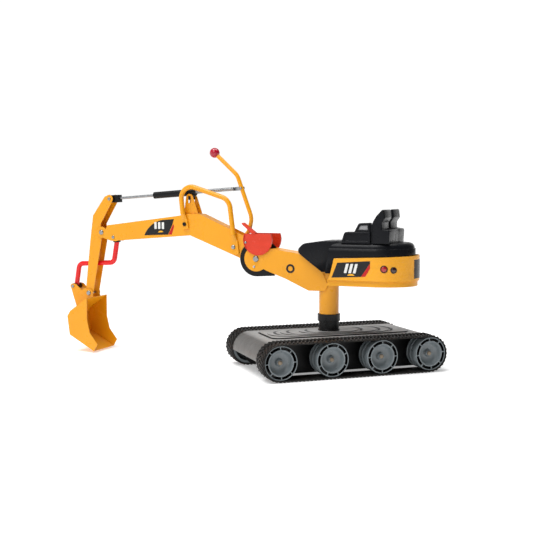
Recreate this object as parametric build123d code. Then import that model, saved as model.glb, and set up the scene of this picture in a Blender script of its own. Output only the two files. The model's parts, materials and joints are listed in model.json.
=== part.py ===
from build123d import *
import os
from math import atan2, cos, degrees, hypot, pi, sin

# Ride-on digger: a tracked base, a seat that turns on a post, and a digging arm worked by a
# lever. Millimetres, +Z up. The origin is on the ground on the turning axis, +X runs along
# the arm towards the bucket and +Y is the driver's left.

# ---- tracked base, drawn facing +X and then turned under the seat --------------------------
BASE_YAW = 42.0            # how far the base stands turned from the arm
AXLE_PITCH = 173.0         # distance between neighbouring axles
AXLES_CENTRE = -18.0       # middle of the four axles along the base
AXLE_COUNT = 4
AXLE_RADIUS = 5.0
TRACK_RADIUS = 61.2        # axle to the ground
TRACK_OUTSIDE = 196.5      # middle of the base to a track's outer edge
TRACK_WIDTH = 72.0
CLEAT_HEIGHT = 4.0
BELT_THICK = 2.7
CLEATS = 54                # per half of the belt's width
WHEEL_RADIUS = 54.0
WHEEL_WIDTH = 66.0
WHEEL_OUTER_FACE = 193.0
WHEEL_RIBS = 8
DECK_RADIUS = 57.0         # round ends of the deck cover
DECK_HALF_WIDTH = 121.0
DECK_SKIN = 3.0
DECK_SKIRT_Z = 58.0        # lower edge of the deck cover
RAIL_INSIDE = 100.0
RAIL_OUTSIDE = 105.0
RAIL_FOOT = 9.0            # lower edge of the side rails
POST_PLATE_TOP = 104.0     # steel plate that the post stands on
STEP_LENGTHS = (430.0, 340.0, 210.0)   # raised oval treads, from the lowest
STEP_WIDTHS = (136.0, 116.0, 92.0)
STEP_RISE = 1.8
PANEL_SIZE = (487.0, 160.0)            # the raised middle of the cover
PANEL_RISE = 3.0
MOAT_WIDTH = 5.0           # groove around the raised middle

# ---- turning post ---------------------------------------------------------------------------
POST_RADIUS = 25.0
POST_TOP = 318.0
POST_FOOT_THICK = 5.0
COLUMN_RADIUS = 33.0
COLUMN_BORE = 29.6
COLUMN_FOOT = 182.4
COLUMN_TOP = 341.0
SOCKET_TOP = 158.0
RUNNING_GAP = 0.08

# ---- base arm, that carries the seat --------------------------------------------------------
BASE_ARM_INSIDE = 33.0     # half the gap between its two side plates
BASE_ARM_OUTSIDE = 36.0
SHEET = 2.5                # thickness of folded sheet
LIFT_PIVOT = (250.0, 360.5)
LIFT_PIN_RADIUS = 6.0
SEAT_PLATE_Z = 371.0
SEAT_PLATE_THICK = 4.0

# ---- seat and fairing -----------------------------------------------------------------------
FAIRING_HALF_WIDTH = 110.0
FAIRING_TURN_X = -178.0    # where the straight sides end
FAIRING_REAR = 125.0       # length of the rounded rear
FAIRING_TOP = 385.0        # at the rear; the rim falls towards the front
FAIRING_TOP_FRONT = 374.5
FAIRING_STEP = 305.0
FAIRING_FOOT = 286.0
FAIRING_SKIN = 3.0
SEAT_HALF_WIDTH = 104.0
SEAT_REAR = 117.0          # length of the seat's rounded rear
SEAT_TOP = 424.0
SEAT_FOOT = SEAT_PLATE_Z + SEAT_PLATE_THICK
SEAT_SKIN = 4.0
BACK_HALF_WIDTH = 98.0

# ---- main boom ------------------------------------------------------------------------------
BOOM_INSIDE = 22.5
BOOM_OUTSIDE = 25.0
STICK_PIVOT = (871.0, 441.0)
LINK_PIVOT = (821.0, 424.0)
LEVER_PIVOT = (336.5, 398.5)
GUARD_SCREW = (286.0, 416.0)
BRACKET_INSIDE = 14.5
BRACKET_OUTSIDE = 17.0
BOOM_CREST = 511.0
HANDLE_Y = 34.0
HANDLE_RADIUS = 8.5
HANDLE_FLAT = 6.4          # thickness of the handle's pressed ends
HANDLE_NECK = 24.0         # length over which the tube goes flat
HANDLE_SCREW = (525.0, 475.0)
LEVER_RADIUS = 7.2
LEVER_ELBOW = (335.0, 645.0)
LEVER_END = (412.0, 715.0)
KNOB_CENTRE = (421.0, 723.0)
KNOB_RADIUS = 17.5

# ---- push rod -------------------------------------------------------------------------------
ROD_BACK = (319.0, 600.0)  # pin on the lever
ROD_FRONT = (839.0, 563.0) # pin on top of the stick
THICK_ROD_RADIUS = 6.3
THIN_ROD_RADIUS = 4.8
ROD_STOP = 14.0            # the rod ends this far short of its front pin
SLEEVE_RADIUS = 12.0
SLEEVE_START = 176.0       # along the rod from its back pin
SLEEVE_END = 343.0
THICK_ROD_END = 262.0
TRUNNION = (512.0, 566.0)

# ---- stick, bucket and link -----------------------------------------------------------------
STICK_INSIDE = 18.5
STICK_OUTSIDE = 20.5
BUCKET_PIVOT = (929.0, 215.0)
BUCKET_LINK_PIN = (999.0, 237.5)
EAR_INSIDE = 22.5
EAR_OUTSIDE = 25.5
BUCKET_HALF_WIDTH = 68.0
BUCKET_SHEET = 2.5
TEETH = 5
LINK_RADIUS = 7.2
LINK_PATH = ((820.5, 405.0), (834.0, 329.5), (985.0, 321.0), (996.0, 250.0))
LOOSE_HOLE = 10.4          # radius of the two free holes that let the linkage float
LOOSE_PIN = 3.5
ROD_EYE_HOLE = 8.2


# ---- helpers --------------------------------------------------------------------------------
def outline(*points):
    """A closed flat shape from (x, z) corners."""
    return make_face(Polyline(*points, close=True))


def disc(centre, radius):
    return Pos(*centre) * Circle(radius)


def slab(shape, y_low, y_high):
    """A side-view shape given its thickness across the machine."""
    return extrude(Plane.XZ.offset(-y_high) * shape, amount=y_high - y_low)


def pair(shape, inside, outside):
    """The same side-view plate on the left and on the right."""
    return [slab(shape, inside, outside), slab(shape, -outside, -inside)]


def joined(shapes):
    whole = shapes[0]
    for shape in shapes[1:]:
        whole = whole + shape
    return whole


def group(shapes):
    """Separate solids kept in one node."""
    return Compound([solid for shape in shapes for solid in shape.solids()])


def domed_head(centre, radius, height, y_foot, side):
    """A low round bolt head standing on the plane y = side * y_foot."""
    low, high = sorted((side * y_foot, side * (y_foot + height)))
    head = slab(disc(centre, radius), low, high)
    rim = head.edges().group_by(Axis.Y)[-1 if side > 0 else 0]
    return fillet(rim, height * 0.8)


def cross_bolt(centre, radius, reach, head_radius, head_height):
    """A bolt across the machine with a domed head on each side."""
    shank = slab(disc(centre, radius), -reach, reach)
    heads = [domed_head(centre, head_radius, head_height, reach, side) for side in (1, -1)]
    return joined([shank] + heads)


def bent_tube(points, bends, radius, wall=None):
    """A tube, or a bar where no wall is given, along straight runs joined by arcs."""
    path = FilletPolyline(*points, radius=bends)
    section = Circle(radius)
    if wall:
        section = section - Circle(radius - wall)
    return sweep(Plane(origin=path @ 0, z_dir=path % 0) * section, path=path)


def upright(shape, z_low, z_high):
    """A plan-view shape given its height."""
    return extrude(Pos(0, 0, z_low) * shape, amount=z_high - z_low)


def bar(start, end, radius):
    """A round bar between two (x, z) points on the middle plane."""
    length = hypot(end[0] - start[0], end[1] - start[1])
    plane = Plane(origin=(start[0], 0, start[1]), z_dir=(end[0] - start[0], 0, end[1] - start[1]))
    return extrude(plane * Circle(radius), amount=length)


def toward(start, end, distance):
    """The (x, z) point at a distance along the line from start to end."""
    length = hypot(end[0] - start[0], end[1] - start[1])
    share = distance / length
    return (start[0] + (end[0] - start[0]) * share, start[1] + (end[1] - start[1]) * share)


# ---- tracked base ---------------------------------------------------------------------------
def on_base(shape):
    """Turn a piece of the base to where it stands under the seat."""
    return Rot(0, 0, BASE_YAW) * shape


def axle_x(index):
    return AXLES_CENTRE + AXLE_PITCH * (1.5 - index)


def loop_shape(radius):
    """A belt's side view: a long slot around the four axles."""
    spread = AXLE_PITCH * (AXLE_COUNT - 1)
    return Pos(AXLES_CENTRE, TRACK_RADIUS) * SlotCenterToCenter(spread, 2 * radius)


def loop_place(travel, radius):
    """Position and tilt of the point at a distance around the belt, from the top rear."""
    straight = AXLE_PITCH * (AXLE_COUNT - 1)
    turn = pi * radius
    travel = travel % (2 * (straight + turn))
    rear = AXLES_CENTRE - straight / 2
    front = AXLES_CENTRE + straight / 2
    if travel < straight:
        return rear + travel, TRACK_RADIUS + radius, 0
    travel -= straight
    if travel < turn:
        angle = travel / radius
        return front + radius * sin(angle), TRACK_RADIUS + radius * cos(angle), degrees(angle)
    travel -= turn
    if travel < straight:
        return front - travel, TRACK_RADIUS - radius, 180
    angle = (travel - straight) / radius
    return rear - radius * sin(angle), TRACK_RADIUS - radius * cos(angle), 180 + degrees(angle)


def track(side):
    """A rubber belt with two rows of staggered cleats."""
    belt_radius = TRACK_RADIUS - CLEAT_HEIGHT
    low, high = sorted((side * (TRACK_OUTSIDE - TRACK_WIDTH), side * TRACK_OUTSIDE))
    ring = loop_shape(belt_radius) - loop_shape(belt_radius - BELT_THICK)
    belt = slab(ring, low, high)
    middle = (low + high) / 2
    straight = AXLE_PITCH * (AXLE_COUNT - 1)
    belt_length = 2 * straight + 2 * pi * belt_radius
    pitch = belt_length / CLEATS
    bar = Box(0.42 * pitch, TRACK_WIDTH / 2, CLEAT_HEIGHT + 0.6)
    bars = []
    for row, across in enumerate((-TRACK_WIDTH / 4, TRACK_WIDTH / 4)):
        for index in range(CLEATS):
            x, z, tilt = loop_place((index + 0.5 * row) * pitch, belt_radius)
            lift = Pos(0, 0, (CLEAT_HEIGHT - 0.6) / 2)
            bars.append(Pos(x, middle + across, z) * Rot(0, tilt, 0) * lift * bar)
    return belt + bars


def wheel():
    """A spoked plastic roller with its axis along Y and its inner end at y = 0."""
    cup_floor = 52.0
    rim_in = 50.5
    profile = outline(
        (AXLE_RADIUS + RUNNING_GAP, 4), (AXLE_RADIUS + RUNNING_GAP, 55), (10, 55), (11, cup_floor),
        (24, cup_floor), (38.5, 59), (39.5, WHEEL_WIDTH), (43, WHEEL_WIDTH), (43, 47), (rim_in, 47),
        (rim_in, WHEEL_WIDTH), (WHEEL_RADIUS, WHEEL_WIDTH), (WHEEL_RADIUS, 44), (50, 44), (50, 25),
        (WHEEL_RADIUS, 25), (WHEEL_RADIUS, 21), (50, 21), (50, 4), (WHEEL_RADIUS, 4),
        (WHEEL_RADIUS, 0), (46, 0), (46, 43), (39.5, 43), (37, 54), (24, 48.5), (10, 48.5), (10, 4))
    body = revolve(profile, axis=Axis.Y)
    rib = Pos(46.8, 56, 0) * Box(8.2, 17, 2.6)
    ribs = [Rot(0, 360 / WHEEL_RIBS * index, 0) * rib for index in range(WHEEL_RIBS)]
    return body + ribs


def wheel_at(index, side):
    """Roller index, counted from the front, on the left (1) or the right (-1)."""
    inner_end = WHEEL_OUTER_FACE - WHEEL_WIDTH
    turned = wheel() if side > 0 else Rot(0, 0, 180) * wheel()
    return Pos(axle_x(index), side * inner_end, TRACK_RADIUS) * turned


def axle(index):
    end = WHEEL_OUTER_FACE - 12
    return slab(disc((axle_x(index), TRACK_RADIUS), AXLE_RADIUS), -end, end)


def axle_caps():
    """A push-on steel cap over each axle's ends."""
    face = WHEEL_OUTER_FACE - 10.7
    spots = [(axle_x(index), TRACK_RADIUS) for index in range(AXLE_COUNT)]
    return group([domed_head(spot, 7.5, 4.0, face, side) for spot in spots for side in (1, -1)])


def deck_cover():
    """The grey moulded cover between the tracks, with its raised oval treads."""
    arch = loop_shape(DECK_RADIUS) - loop_shape(DECK_RADIUS - DECK_SKIN)
    below = Pos(AXLES_CENTRE, DECK_SKIRT_Z - 100) * Rectangle(800, 200)
    cover = slab(arch - below, -DECK_HALF_WIDTH, DECK_HALF_WIDTH)
    top = TRACK_RADIUS + DECK_RADIUS
    length, width = PANEL_SIZE
    panel = Pos(AXLES_CENTRE, 0) * RectangleRounded(length, width, 26)
    cover = cover + upright(panel, top - 0.5, top + PANEL_RISE)
    moat = offset(panel, MOAT_WIDTH) - panel
    cover = cover - upright(moat, top - 1.5, top + PANEL_RISE)
    level = top + PANEL_RISE
    for length, width in zip(STEP_LENGTHS, STEP_WIDTHS):
        tread = upright(SlotOverall(length, width), level - 0.3, level + STEP_RISE)
        cover = cover + chamfer(tread.edges().group_by(Axis.Z)[-1], 0.9)
        level += STEP_RISE
    return cover - Cylinder(POST_RADIUS + 2, 400)


def deck_top():
    return TRACK_RADIUS + DECK_RADIUS + PANEL_RISE + STEP_RISE * len(STEP_LENGTHS)


def chassis_frame():
    """Two side rails, cross tubes and the plate that the post stands on."""
    rail_top = TRACK_RADIUS + DECK_RADIUS - DECK_SKIN
    ends = AXLE_PITCH * 1.5 + 30
    rear = AXLES_CENTRE - ends
    front = AXLES_CENTRE + ends
    side = outline(
        (rear, 40), (rear + 30, RAIL_FOOT), (front - 30, RAIL_FOOT), (front, 40), (front, 78),
        (front - 42, rail_top), (rear + 42, rail_top), (rear, 78))
    for index in range(AXLE_COUNT):
        side = side - disc((axle_x(index), TRACK_RADIUS), AXLE_RADIUS)
    frame = pair(side, RAIL_INSIDE, RAIL_OUTSIDE)
    for x in (-AXLE_PITCH, 0, AXLE_PITCH):
        frame.append(Pos(AXLES_CENTRE + x, 0, 85) * Box(40, 2 * RAIL_INSIDE, 30))
    frame.append(Pos(0, 0, POST_PLATE_TOP - 3) * Box(2 * AXLE_PITCH, 150, 6))
    return joined(frame)


def slew_post():
    """The steel post that the seat turns on."""
    foot = POST_PLATE_TOP + POST_FOOT_THICK
    flange = upright(Rectangle(130, 130), POST_PLATE_TOP, foot)
    tube = upright(Circle(POST_RADIUS), foot, POST_TOP) - upright(Circle(POST_RADIUS - 3), foot, 300)
    return flange + tube - upright(Circle(5), 290, POST_TOP)


def post_bolts():
    """Four bolts through the post's foot."""
    spots = [(x, y) for x in (-52, 52) for y in (-52, 52)]
    return group([Pos(x, y, POST_PLATE_TOP + POST_FOOT_THICK + 2) * Cylinder(6.5, 4) for x, y in spots])


def column_socket():
    """The fixed plastic collar at the foot of the post."""
    body = upright(Circle(34), deck_top(), SOCKET_TOP)
    body = body + upright(Circle(36.5), deck_top(), deck_top() + 4)
    body = body - upright(Circle(POST_RADIUS), deck_top(), SOCKET_TOP)
    return fillet(body.edges().group_by(Axis.Z)[-1][0], 1.0)


def post_cap():
    """The retaining washer and bolt on top of the post."""
    washer = upright(Circle(COLUMN_BORE - 0.6), POST_TOP, POST_TOP + 4)
    head = upright(RegularPolygon(9, 6), POST_TOP + 4, POST_TOP + 11)
    return washer + head + upright(Circle(5), POST_TOP - 24, POST_TOP)


# ---- turning column and base arm ------------------------------------------------------------
def column():
    tube = upright(Circle(COLUMN_RADIUS) - Circle(COLUMN_BORE), COLUMN_FOOT, COLUMN_TOP - 6)
    return tube + upright(Rectangle(2 * BASE_ARM_INSIDE, 2 * BASE_ARM_INSIDE), COLUMN_TOP - 6, COLUMN_TOP)


def swivel_ring():
    ring = upright(Circle(38) - Circle(POST_RADIUS + 0.6), SOCKET_TOP + 0.4, COLUMN_FOOT)
    return fillet(ring.edges().filter_by(GeomType.CIRCLE).sort_by(SortBy.RADIUS)[-2:], 1.5)


def slew_bushes():
    shape = Circle(COLUMN_BORE) - Circle(POST_RADIUS + RUNNING_GAP)
    return group([upright(shape, 183, 213), upright(shape, POST_TOP - 30, POST_TOP - 0.3)])


def base_arm():
    """Folded steel arm: two side plates with a web along the top, welded to the column."""
    bx, bz = LIFT_PIVOT
    nose = 43.0
    side = outline(
        (bx - 4, bz + nose), (100, 382.5), (62, SEAT_PLATE_Z), (-34, SEAT_PLATE_Z), (-34, 338),
        (9, 319), (-8, 279), (2, 260), (60, 259.5), (143.5, 297), (208, 320), (bx - 28, 326),
        (bx - 4, bz - nose + 4))
    side = fillet(side.vertices().sort_by(Axis.Y)[:2], 8)
    side = side + disc(LIFT_PIVOT, nose) - disc(LIFT_PIVOT, LIFT_PIN_RADIUS)
    plates = pair(side, BASE_ARM_INSIDE, BASE_ARM_OUTSIDE)
    web = outline(
        (193, 396.2), (100, 382.5), (62, SEAT_PLATE_Z), (-34, SEAT_PLATE_Z),
        (-34, SEAT_PLATE_Z - SHEET), (62.5, SEAT_PLATE_Z - SHEET), (100.5, 380), (193, 393.7))
    return joined(plates + [slab(web, -BASE_ARM_INSIDE, BASE_ARM_INSIDE)])


def pivot_shroud(side):
    """A black plastic disc with a rim that closes the gap beside the boom's end."""
    rim = 60.0
    inner = BOOM_OUTSIDE + 0.6
    bx, bz = LIFT_PIVOT
    tail = outline((bx - 5, bz - rim), (bx - 66, bz - rim + 4), (bx - 66, bz - 48), (bx - 20, bz - 40))
    face = disc(LIFT_PIVOT, rim) + tail - disc(LIFT_PIVOT, LIFT_PIN_RADIUS)
    hollow = disc(LIFT_PIVOT, rim - 4) - disc(LIFT_PIVOT, 14)
    low, high = sorted((side * inner, side * BASE_ARM_INSIDE))
    pocket_low, pocket_high = sorted((side * inner, side * (BASE_ARM_INSIDE - 3)))
    return slab(face, low, high) - slab(hollow, pocket_low, pocket_high)


def shroud_screw(side):
    spot = (LIFT_PIVOT[0] + 7, LIFT_PIVOT[1] - 27)
    return domed_head(spot, 4.5, 2.5, BASE_ARM_OUTSIDE, side)


def seat_plan(inset, rear_length=FAIRING_REAR):
    """Plan view of the fairing and the seat, pulled in by a distance."""
    half = FAIRING_HALF_WIDTH - inset
    rear = Pos(FAIRING_TURN_X, 0) * Ellipse(rear_length - inset, half)
    front_x = 60.0
    block = Pos((FAIRING_TURN_X + front_x) / 2, 0) * Rectangle(front_x - FAIRING_TURN_X, 2 * half)
    return rear + block


def seat_plate():
    """Steel plate under the seat, on top of the base arm."""
    plan = seat_plan(FAIRING_SKIN + 1)
    plate = upright(plan, SEAT_PLATE_Z, SEAT_PLATE_Z + SEAT_PLATE_THICK)
    front = Pos(45, 0, SEAT_PLATE_Z) * Box(210, 300, 40)
    tongue = Pos(-10, 0, SEAT_PLATE_Z + SEAT_PLATE_THICK / 2) * Box(110, 70, SEAT_PLATE_THICK)
    return plate - front + tongue


def fairing():
    """The yellow moulded fairing around the back of the seat."""
    shell = upright(seat_plan(0) - seat_plan(FAIRING_SKIN), FAIRING_STEP, FAIRING_TOP)
    ledge = upright(seat_plan(1) - seat_plan(14), SEAT_PLATE_Z - 6, SEAT_PLATE_Z)
    front = slab(
        outline((-30, FAIRING_STEP - 5), (-40.5, 326), (-51, 370), (-58, FAIRING_TOP + 5),
                (120, FAIRING_TOP + 5), (120, FAIRING_STEP - 5)), -150, 150)
    ledge_front = Pos(30, 0, SEAT_PLATE_Z) * Box(190, 300, 40)
    above = slab(
        outline((-51, FAIRING_TOP_FRONT), (FAIRING_TURN_X - FAIRING_REAR - 5, FAIRING_TOP), (-310, 400),
                (-51, 400)), -150, 150)
    return shell + (ledge - ledge_front) - front - above


def fairing_skirt():
    """The set-back band under the fairing."""
    band = upright(seat_plan(6) - seat_plan(6 + FAIRING_SKIN), FAIRING_FOOT, FAIRING_STEP)
    lip = upright(seat_plan(2) - seat_plan(6 + FAIRING_SKIN), FAIRING_STEP - 3, FAIRING_STEP)
    front = slab(outline((-28, 280), (-30, 310), (120, 310), (120, 280)), -150, 150)
    return band + lip - front


def seat_wide(inset):
    """The broad back half of the seat shell, solid, pulled in by a distance."""
    side = outline((-20, 325), (-32, 404), (-50, 420), (-86, SEAT_TOP), (-320, SEAT_TOP),
                   (-320, SEAT_FOOT), (-54, SEAT_FOOT), (-39, 325))
    if inset:
        side = offset(side, -inset)
        side = side + Pos(0, -3 * inset) * side
    half = slab(side, -200, 200)
    plan = seat_plan(FAIRING_HALF_WIDTH - SEAT_HALF_WIDTH + inset, SEAT_REAR)
    return half & upright(plan, 300, 440)


def seat_saddle(inset):
    """The narrow front of the seat that the driver straddles, solid."""
    side = outline((93, 384), (96, 396), (90, 408), (76, 416), (52, 422.5), (12, 427),
                   (-52, 428.5), (-75, 428.5), (-75, 325), (5, 325))
    plan = outline((97, 47), (97, -47), (-40, -68), (-75, -68), (-75, 68), (-40, 68))
    if inset:
        side = offset(side, -inset)
        side = side + Pos(0, -3 * inset) * side
        plan = offset(plan, -inset)
    return slab(side, -100, 100) & upright(plan, 300, 460)


def seat_shell():
    """The black moulded seat, open underneath."""
    wide = seat_wide(0)
    saddle = seat_saddle(0)
    rounded = [edge for edge in saddle.edges() if edge.center().Z > 405 and abs(edge.center().Y) > 40]
    saddle = fillet(rounded, 9)
    hollow = seat_wide(SEAT_SKIN) + seat_saddle(SEAT_SKIN)
    belly = slab(outline((-54, SEAT_FOOT), (-39, 325), (5, 325), (93, 384), (93, 300), (-54, 300)), -64, 64)
    return wide + saddle - hollow - belly


def seat_back():
    """Side bolsters in two steps and the split backrest."""
    high = BACK_HALF_WIDTH
    low_step = outline((-70, SEAT_TOP), (-83, 459), (-190, 461), (-190, SEAT_TOP))
    high_step = outline((-113, 458), (-129, 486), (-190, 490), (-190, 458))
    bolsters = pair(low_step, high - 24, high) + pair(high_step, high - 22, high - 4)
    lobe = outline((-176, SEAT_TOP), (-176, 493), (-187, 511), (-213, 537), (-216, 503),
                   (-205, 488), (-205, 470), (-231, 467), (-229, SEAT_TOP))
    lobes = pair(lobe, 13, high)
    spine = slab(outline((-178, SEAT_TOP), (-178, 493), (-192, 512), (-200, 512), (-200, SEAT_TOP)), -14, 14)
    foot = slab(outline((-200, SEAT_TOP), (-200, 467), (-226, 467), (-226, SEAT_TOP)), -14, 14)
    whole = joined(bolsters + lobes + [spine, foot])
    for side in (1, -1):
        for pocket in side_pockets(side):
            whole = whole - pocket
    return whole


def side_pockets(side):
    """Shallow panels let into the outside of the bolsters."""
    low_panel = outline((-82, 431), (-90, 453), (-160, 454.5), (-160, 431))
    window = outline((-128, 466), (-136, 481), (-160, 482.5), (-160, 466))
    deep = BACK_HALF_WIDTH
    spans = [(low_panel, deep - 2, deep + 1), (window, deep - 7, deep)]
    pockets = []
    for shape, start, end in spans:
        low, high = sorted((side * start, side * end))
        pockets.append(slab(shape, low, high))
    return pockets


def window_insert(side):
    """A pale panel in the upper step's pocket."""
    shape = outline((-128.4, 466.4), (-136.2, 480.6), (-159.6, 482.1), (-159.6, 466.4))
    low, high = sorted((side * (BACK_HALF_WIDTH - 7), side * (BACK_HALF_WIDTH - 5)))
    return slab(shape, low, high)


def side_shell(shape, thick):
    """A thin piece of a side-view shape that lies on both sides of the fairing."""
    skin = upright(seat_plan(-thick) - seat_plan(0), FAIRING_STEP, FAIRING_TOP)
    return skin & slab(shape, -150, 150)


def lamp(centre, thick, radius):
    return side_shell(disc(centre, radius), thick)


def rear_panel():
    skin = upright(seat_plan(-0.6) - seat_plan(0), 312, 372)
    return skin & (Pos(-280, 0, 342) * Box(120, 74, 60))


def fairing_panels():
    """Plain dark trim panels on the fairing's sides and rear."""
    side = outline((-45, 313), (-64, 361), (-172, 369), (-172, 362), (-142.6, 318.5))
    return group([side_shell(side, 0.6), rear_panel()])


def fairing_stripes():
    """Red slanted trim beside the dark side panels."""
    stripe = outline((-172, 361.4), (-172, 345), (-157, 319.3), (-143.2, 318.6))
    return group([side_shell(stripe, 0.6)])


def seat_screws():
    """Screws up through the seat plate."""
    spots = [(x, y) for x in (-90, -210) for y in (-60, 60)]
    return group([Pos(x, y, SEAT_PLATE_Z - 2) * Cylinder(5, 4) for x, y in spots])


def badge():
    """A plain round dark badge on each side of the base arm."""
    ring = disc((124.5, 331), 15) - disc((124.5, 331), 12)
    return group(pair(ring, BASE_ARM_OUTSIDE, BASE_ARM_OUTSIDE + 0.6))


# ---- boom -----------------------------------------------------------------------------------
def boom():
    """Folded steel boom: two side plates with a web along the top."""
    side = outline(
        (846, 467), (548, 504.5), (528, BOOM_CREST), (470, BOOM_CREST), (295, 435),
        (LIFT_PIVOT[0] + 10, LIFT_PIVOT[1] + 34), (LIFT_PIVOT[0] + 10, LIFT_PIVOT[1] - 32),
        (319, 363), (506, 435.5), (800, 412), (812, 409), (832, 411), (866, 421))
    side = side + disc(STICK_PIVOT, 20.5) + disc(LIFT_PIVOT, 35)
    for centre, radius in ((STICK_PIVOT, 5), (LINK_PIVOT, LOOSE_PIN), (LEVER_PIVOT, 4), (LIFT_PIVOT, 12)):
        side = side - disc(centre, radius)
    web = outline(
        (835, 468.4), (548, 504.5), (528, BOOM_CREST), (470, BOOM_CREST), (352, 459.8),
        (353, 457.3), (470.5, BOOM_CREST - SHEET), (527.6, BOOM_CREST - SHEET), (547.7, 502), (834.7, 465.9))
    plates = pair(side, BOOM_INSIDE, BOOM_OUTSIDE)
    return joined(plates + [slab(web, -BOOM_INSIDE, BOOM_INSIDE)])


def lift_sleeve():
    """The tube welded across the boom's rear end that turns on the lift bolt."""
    ring = disc(LIFT_PIVOT, 12) - disc(LIFT_PIVOT, LIFT_PIN_RADIUS + RUNNING_GAP)
    return slab(ring, -BOOM_OUTSIDE, BOOM_OUTSIDE)


def sleeve_bracket():
    """A fork on top of the boom with upright slots that steady the rod's sleeve."""
    tx, tz = TRUNNION
    cheek = outline((533, BOOM_CREST), (478, BOOM_CREST), (tx - 13, tz + 6), (tx + 13, tz + 6))
    cheek = cheek + disc((tx, tz + 2), 13)
    slot = outline((tx - 5, tz - 17), (tx + 5, tz - 17), (tx + 5, tz + 8), (tx - 5, tz + 8))
    cheeks = pair(cheek - slot, BRACKET_INSIDE, BRACKET_OUTSIDE)
    foot = slab(outline((533, BOOM_CREST), (478, BOOM_CREST), (479, 514), (532, 514)),
                -BRACKET_INSIDE, BRACKET_INSIDE)
    return joined(cheeks + [foot])


def flat_end(top, foot, width):
    """The pressed-flat end of the grab handle, bolted to the boom's side."""
    reach = hypot(top[0] - foot[0], top[1] - foot[1]) + 12
    lean = degrees(atan2(top[0] - foot[0], top[1] - foot[1]))
    middle = Pos((top[0] + foot[0]) / 2, (top[1] + foot[1]) / 2)
    plate = middle * Rot(0, 0, -lean) * RectangleRounded(width, reach, 5)
    return slab(plate, BOOM_OUTSIDE, BOOM_OUTSIDE + HANDLE_FLAT)


def grab_handle():
    """A bent tube with flattened ends on the boom's left side."""
    front_foot, front_top = (521.5, 463), (529.5, 512)
    rear_foot, rear_top = (327.5, 379), (335, 440)
    points = [(*front_top, 0), (541.5, 622, 0), (350.5, 561, 0), (*rear_top, 0)]
    path_points = [(x, HANDLE_Y, z) for x, z, _ in points]
    tube = bent_tube(path_points, [40, 44], HANDLE_RADIUS)
    ends = []
    for top, foot in ((front_top, front_foot), (rear_top, rear_foot)):
        neck_end = toward(top, foot, HANDLE_NECK)
        lean = degrees(atan2(top[0] - foot[0], top[1] - foot[1]))
        collar = Pos(top[0], HANDLE_Y, top[1]) * Rot(0, lean, 0)
        pressed = Pos(0, BOOM_OUTSIDE + HANDLE_FLAT / 2 - HANDLE_Y, -HANDLE_NECK)
        round_end = collar * Pos(0, 0, 3) * Circle(HANDLE_RADIUS - 0.2)
        neck = loft([round_end, collar * pressed * Ellipse(10.5, HANDLE_FLAT / 2 - 0.4)])
        ends += [neck, flat_end(neck_end, foot, 23)]
    handle = joined([tube] + ends)
    for spot in (HANDLE_SCREW, LEVER_PIVOT):
        handle = handle - slab(disc(spot, 4), 0, 60) - slab(disc(spot, 8), BOOM_OUTSIDE + HANDLE_FLAT, 60)
    return handle


def handle_screw():
    """The screw in the grab handle's front end."""
    shank = slab(disc(HANDLE_SCREW, 4), BOOM_OUTSIDE, BOOM_OUTSIDE + HANDLE_FLAT)
    return shank + domed_head(HANDLE_SCREW, 7, 4, BOOM_OUTSIDE + HANDLE_FLAT, 1)


def lever_bolt():
    """The bolt the lever turns on, through the boom and the handle's rear end."""
    shank = slab(disc(LEVER_PIVOT, 4), -BOOM_OUTSIDE, BOOM_OUTSIDE + HANDLE_FLAT)
    near = domed_head(LEVER_PIVOT, 7.5, 4, BOOM_OUTSIDE + HANDLE_FLAT, 1)
    return shank + near + domed_head(LEVER_PIVOT, 7.5, 4, BOOM_OUTSIDE, -1)


def pinch_guard(side):
    """A red half-moon cover outside the lift joint."""
    centre = (241.0, 425.5)
    flat_z = 446.0
    face = disc(centre, 53) - outline((100, flat_z), (400, flat_z), (400, 520), (100, 520))
    inner = BASE_ARM_OUTSIDE + 2.5
    low, high = sorted((side * inner, side * (inner + 3)))
    plate = slab(face - disc(GUARD_SCREW, 2.5), low, high)
    rim = disc(centre, 53) - disc(centre, 50.8)
    keep = outline((100, flat_z), (400, flat_z), (400, 424), (268, 392), (214, 392), (100, 424))
    low, high = sorted((side * (inner + 2), side * (inner + 6)))
    return plate + slab(rim & keep, low, high)


def guard_lip():
    """The bent lip at the front of the left cover."""
    inner = BASE_ARM_OUTSIDE + 2.5
    lip = outline((252, 446), (262, 446), (298, 477), (300, 482), (293, 483), (248, 449))
    web = outline((248, 440), (262, 446), (280, 452), (252, 455))
    return slab(lip, inner - 10, inner + 5) + slab(web, inner, inner + 3)


def pinch_guards():
    """The left cover with its lip, and the plain right cover."""
    return group([pinch_guard(1) + guard_lip(), pinch_guard(-1)])


def guard_bolts():
    """Shouldered bolts that hold the covers off the boom's sides."""
    inner = BASE_ARM_OUTSIDE + 2.5
    shoulders = pair(disc(GUARD_SCREW, 4.6), BOOM_OUTSIDE, inner)
    shanks = pair(disc(GUARD_SCREW, 2.5), inner, inner + 3)
    heads = [domed_head(GUARD_SCREW, 4.3, 2.5, inner + 3, side) for side in (1, -1)]
    return group([joined([shoulders[k], shanks[k], heads[k]]) for k in (0, 1)])


def boom_panels():
    """Plain dark trim panels with a swept front on the boom's sides."""
    line = Polyline((690, 433), (572, 438), (569, 492), (612, 489))
    sweep_arc = ThreePointArc((612, 489), (663, 468), (690, 433))
    shape = make_face(Curve() + [line, sweep_arc])
    cut = outline((597, 430), (575, 476), (568, 500), (555, 500), (555, 430))
    return group(pair(shape - cut, BOOM_OUTSIDE, BOOM_OUTSIDE + 0.6))


def boom_stripes():
    stripe = outline((592, 437), (572.5, 475), (569.5, 466), (579, 437.5))
    return group(pair(stripe, BOOM_OUTSIDE, BOOM_OUTSIDE + 0.6))


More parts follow.
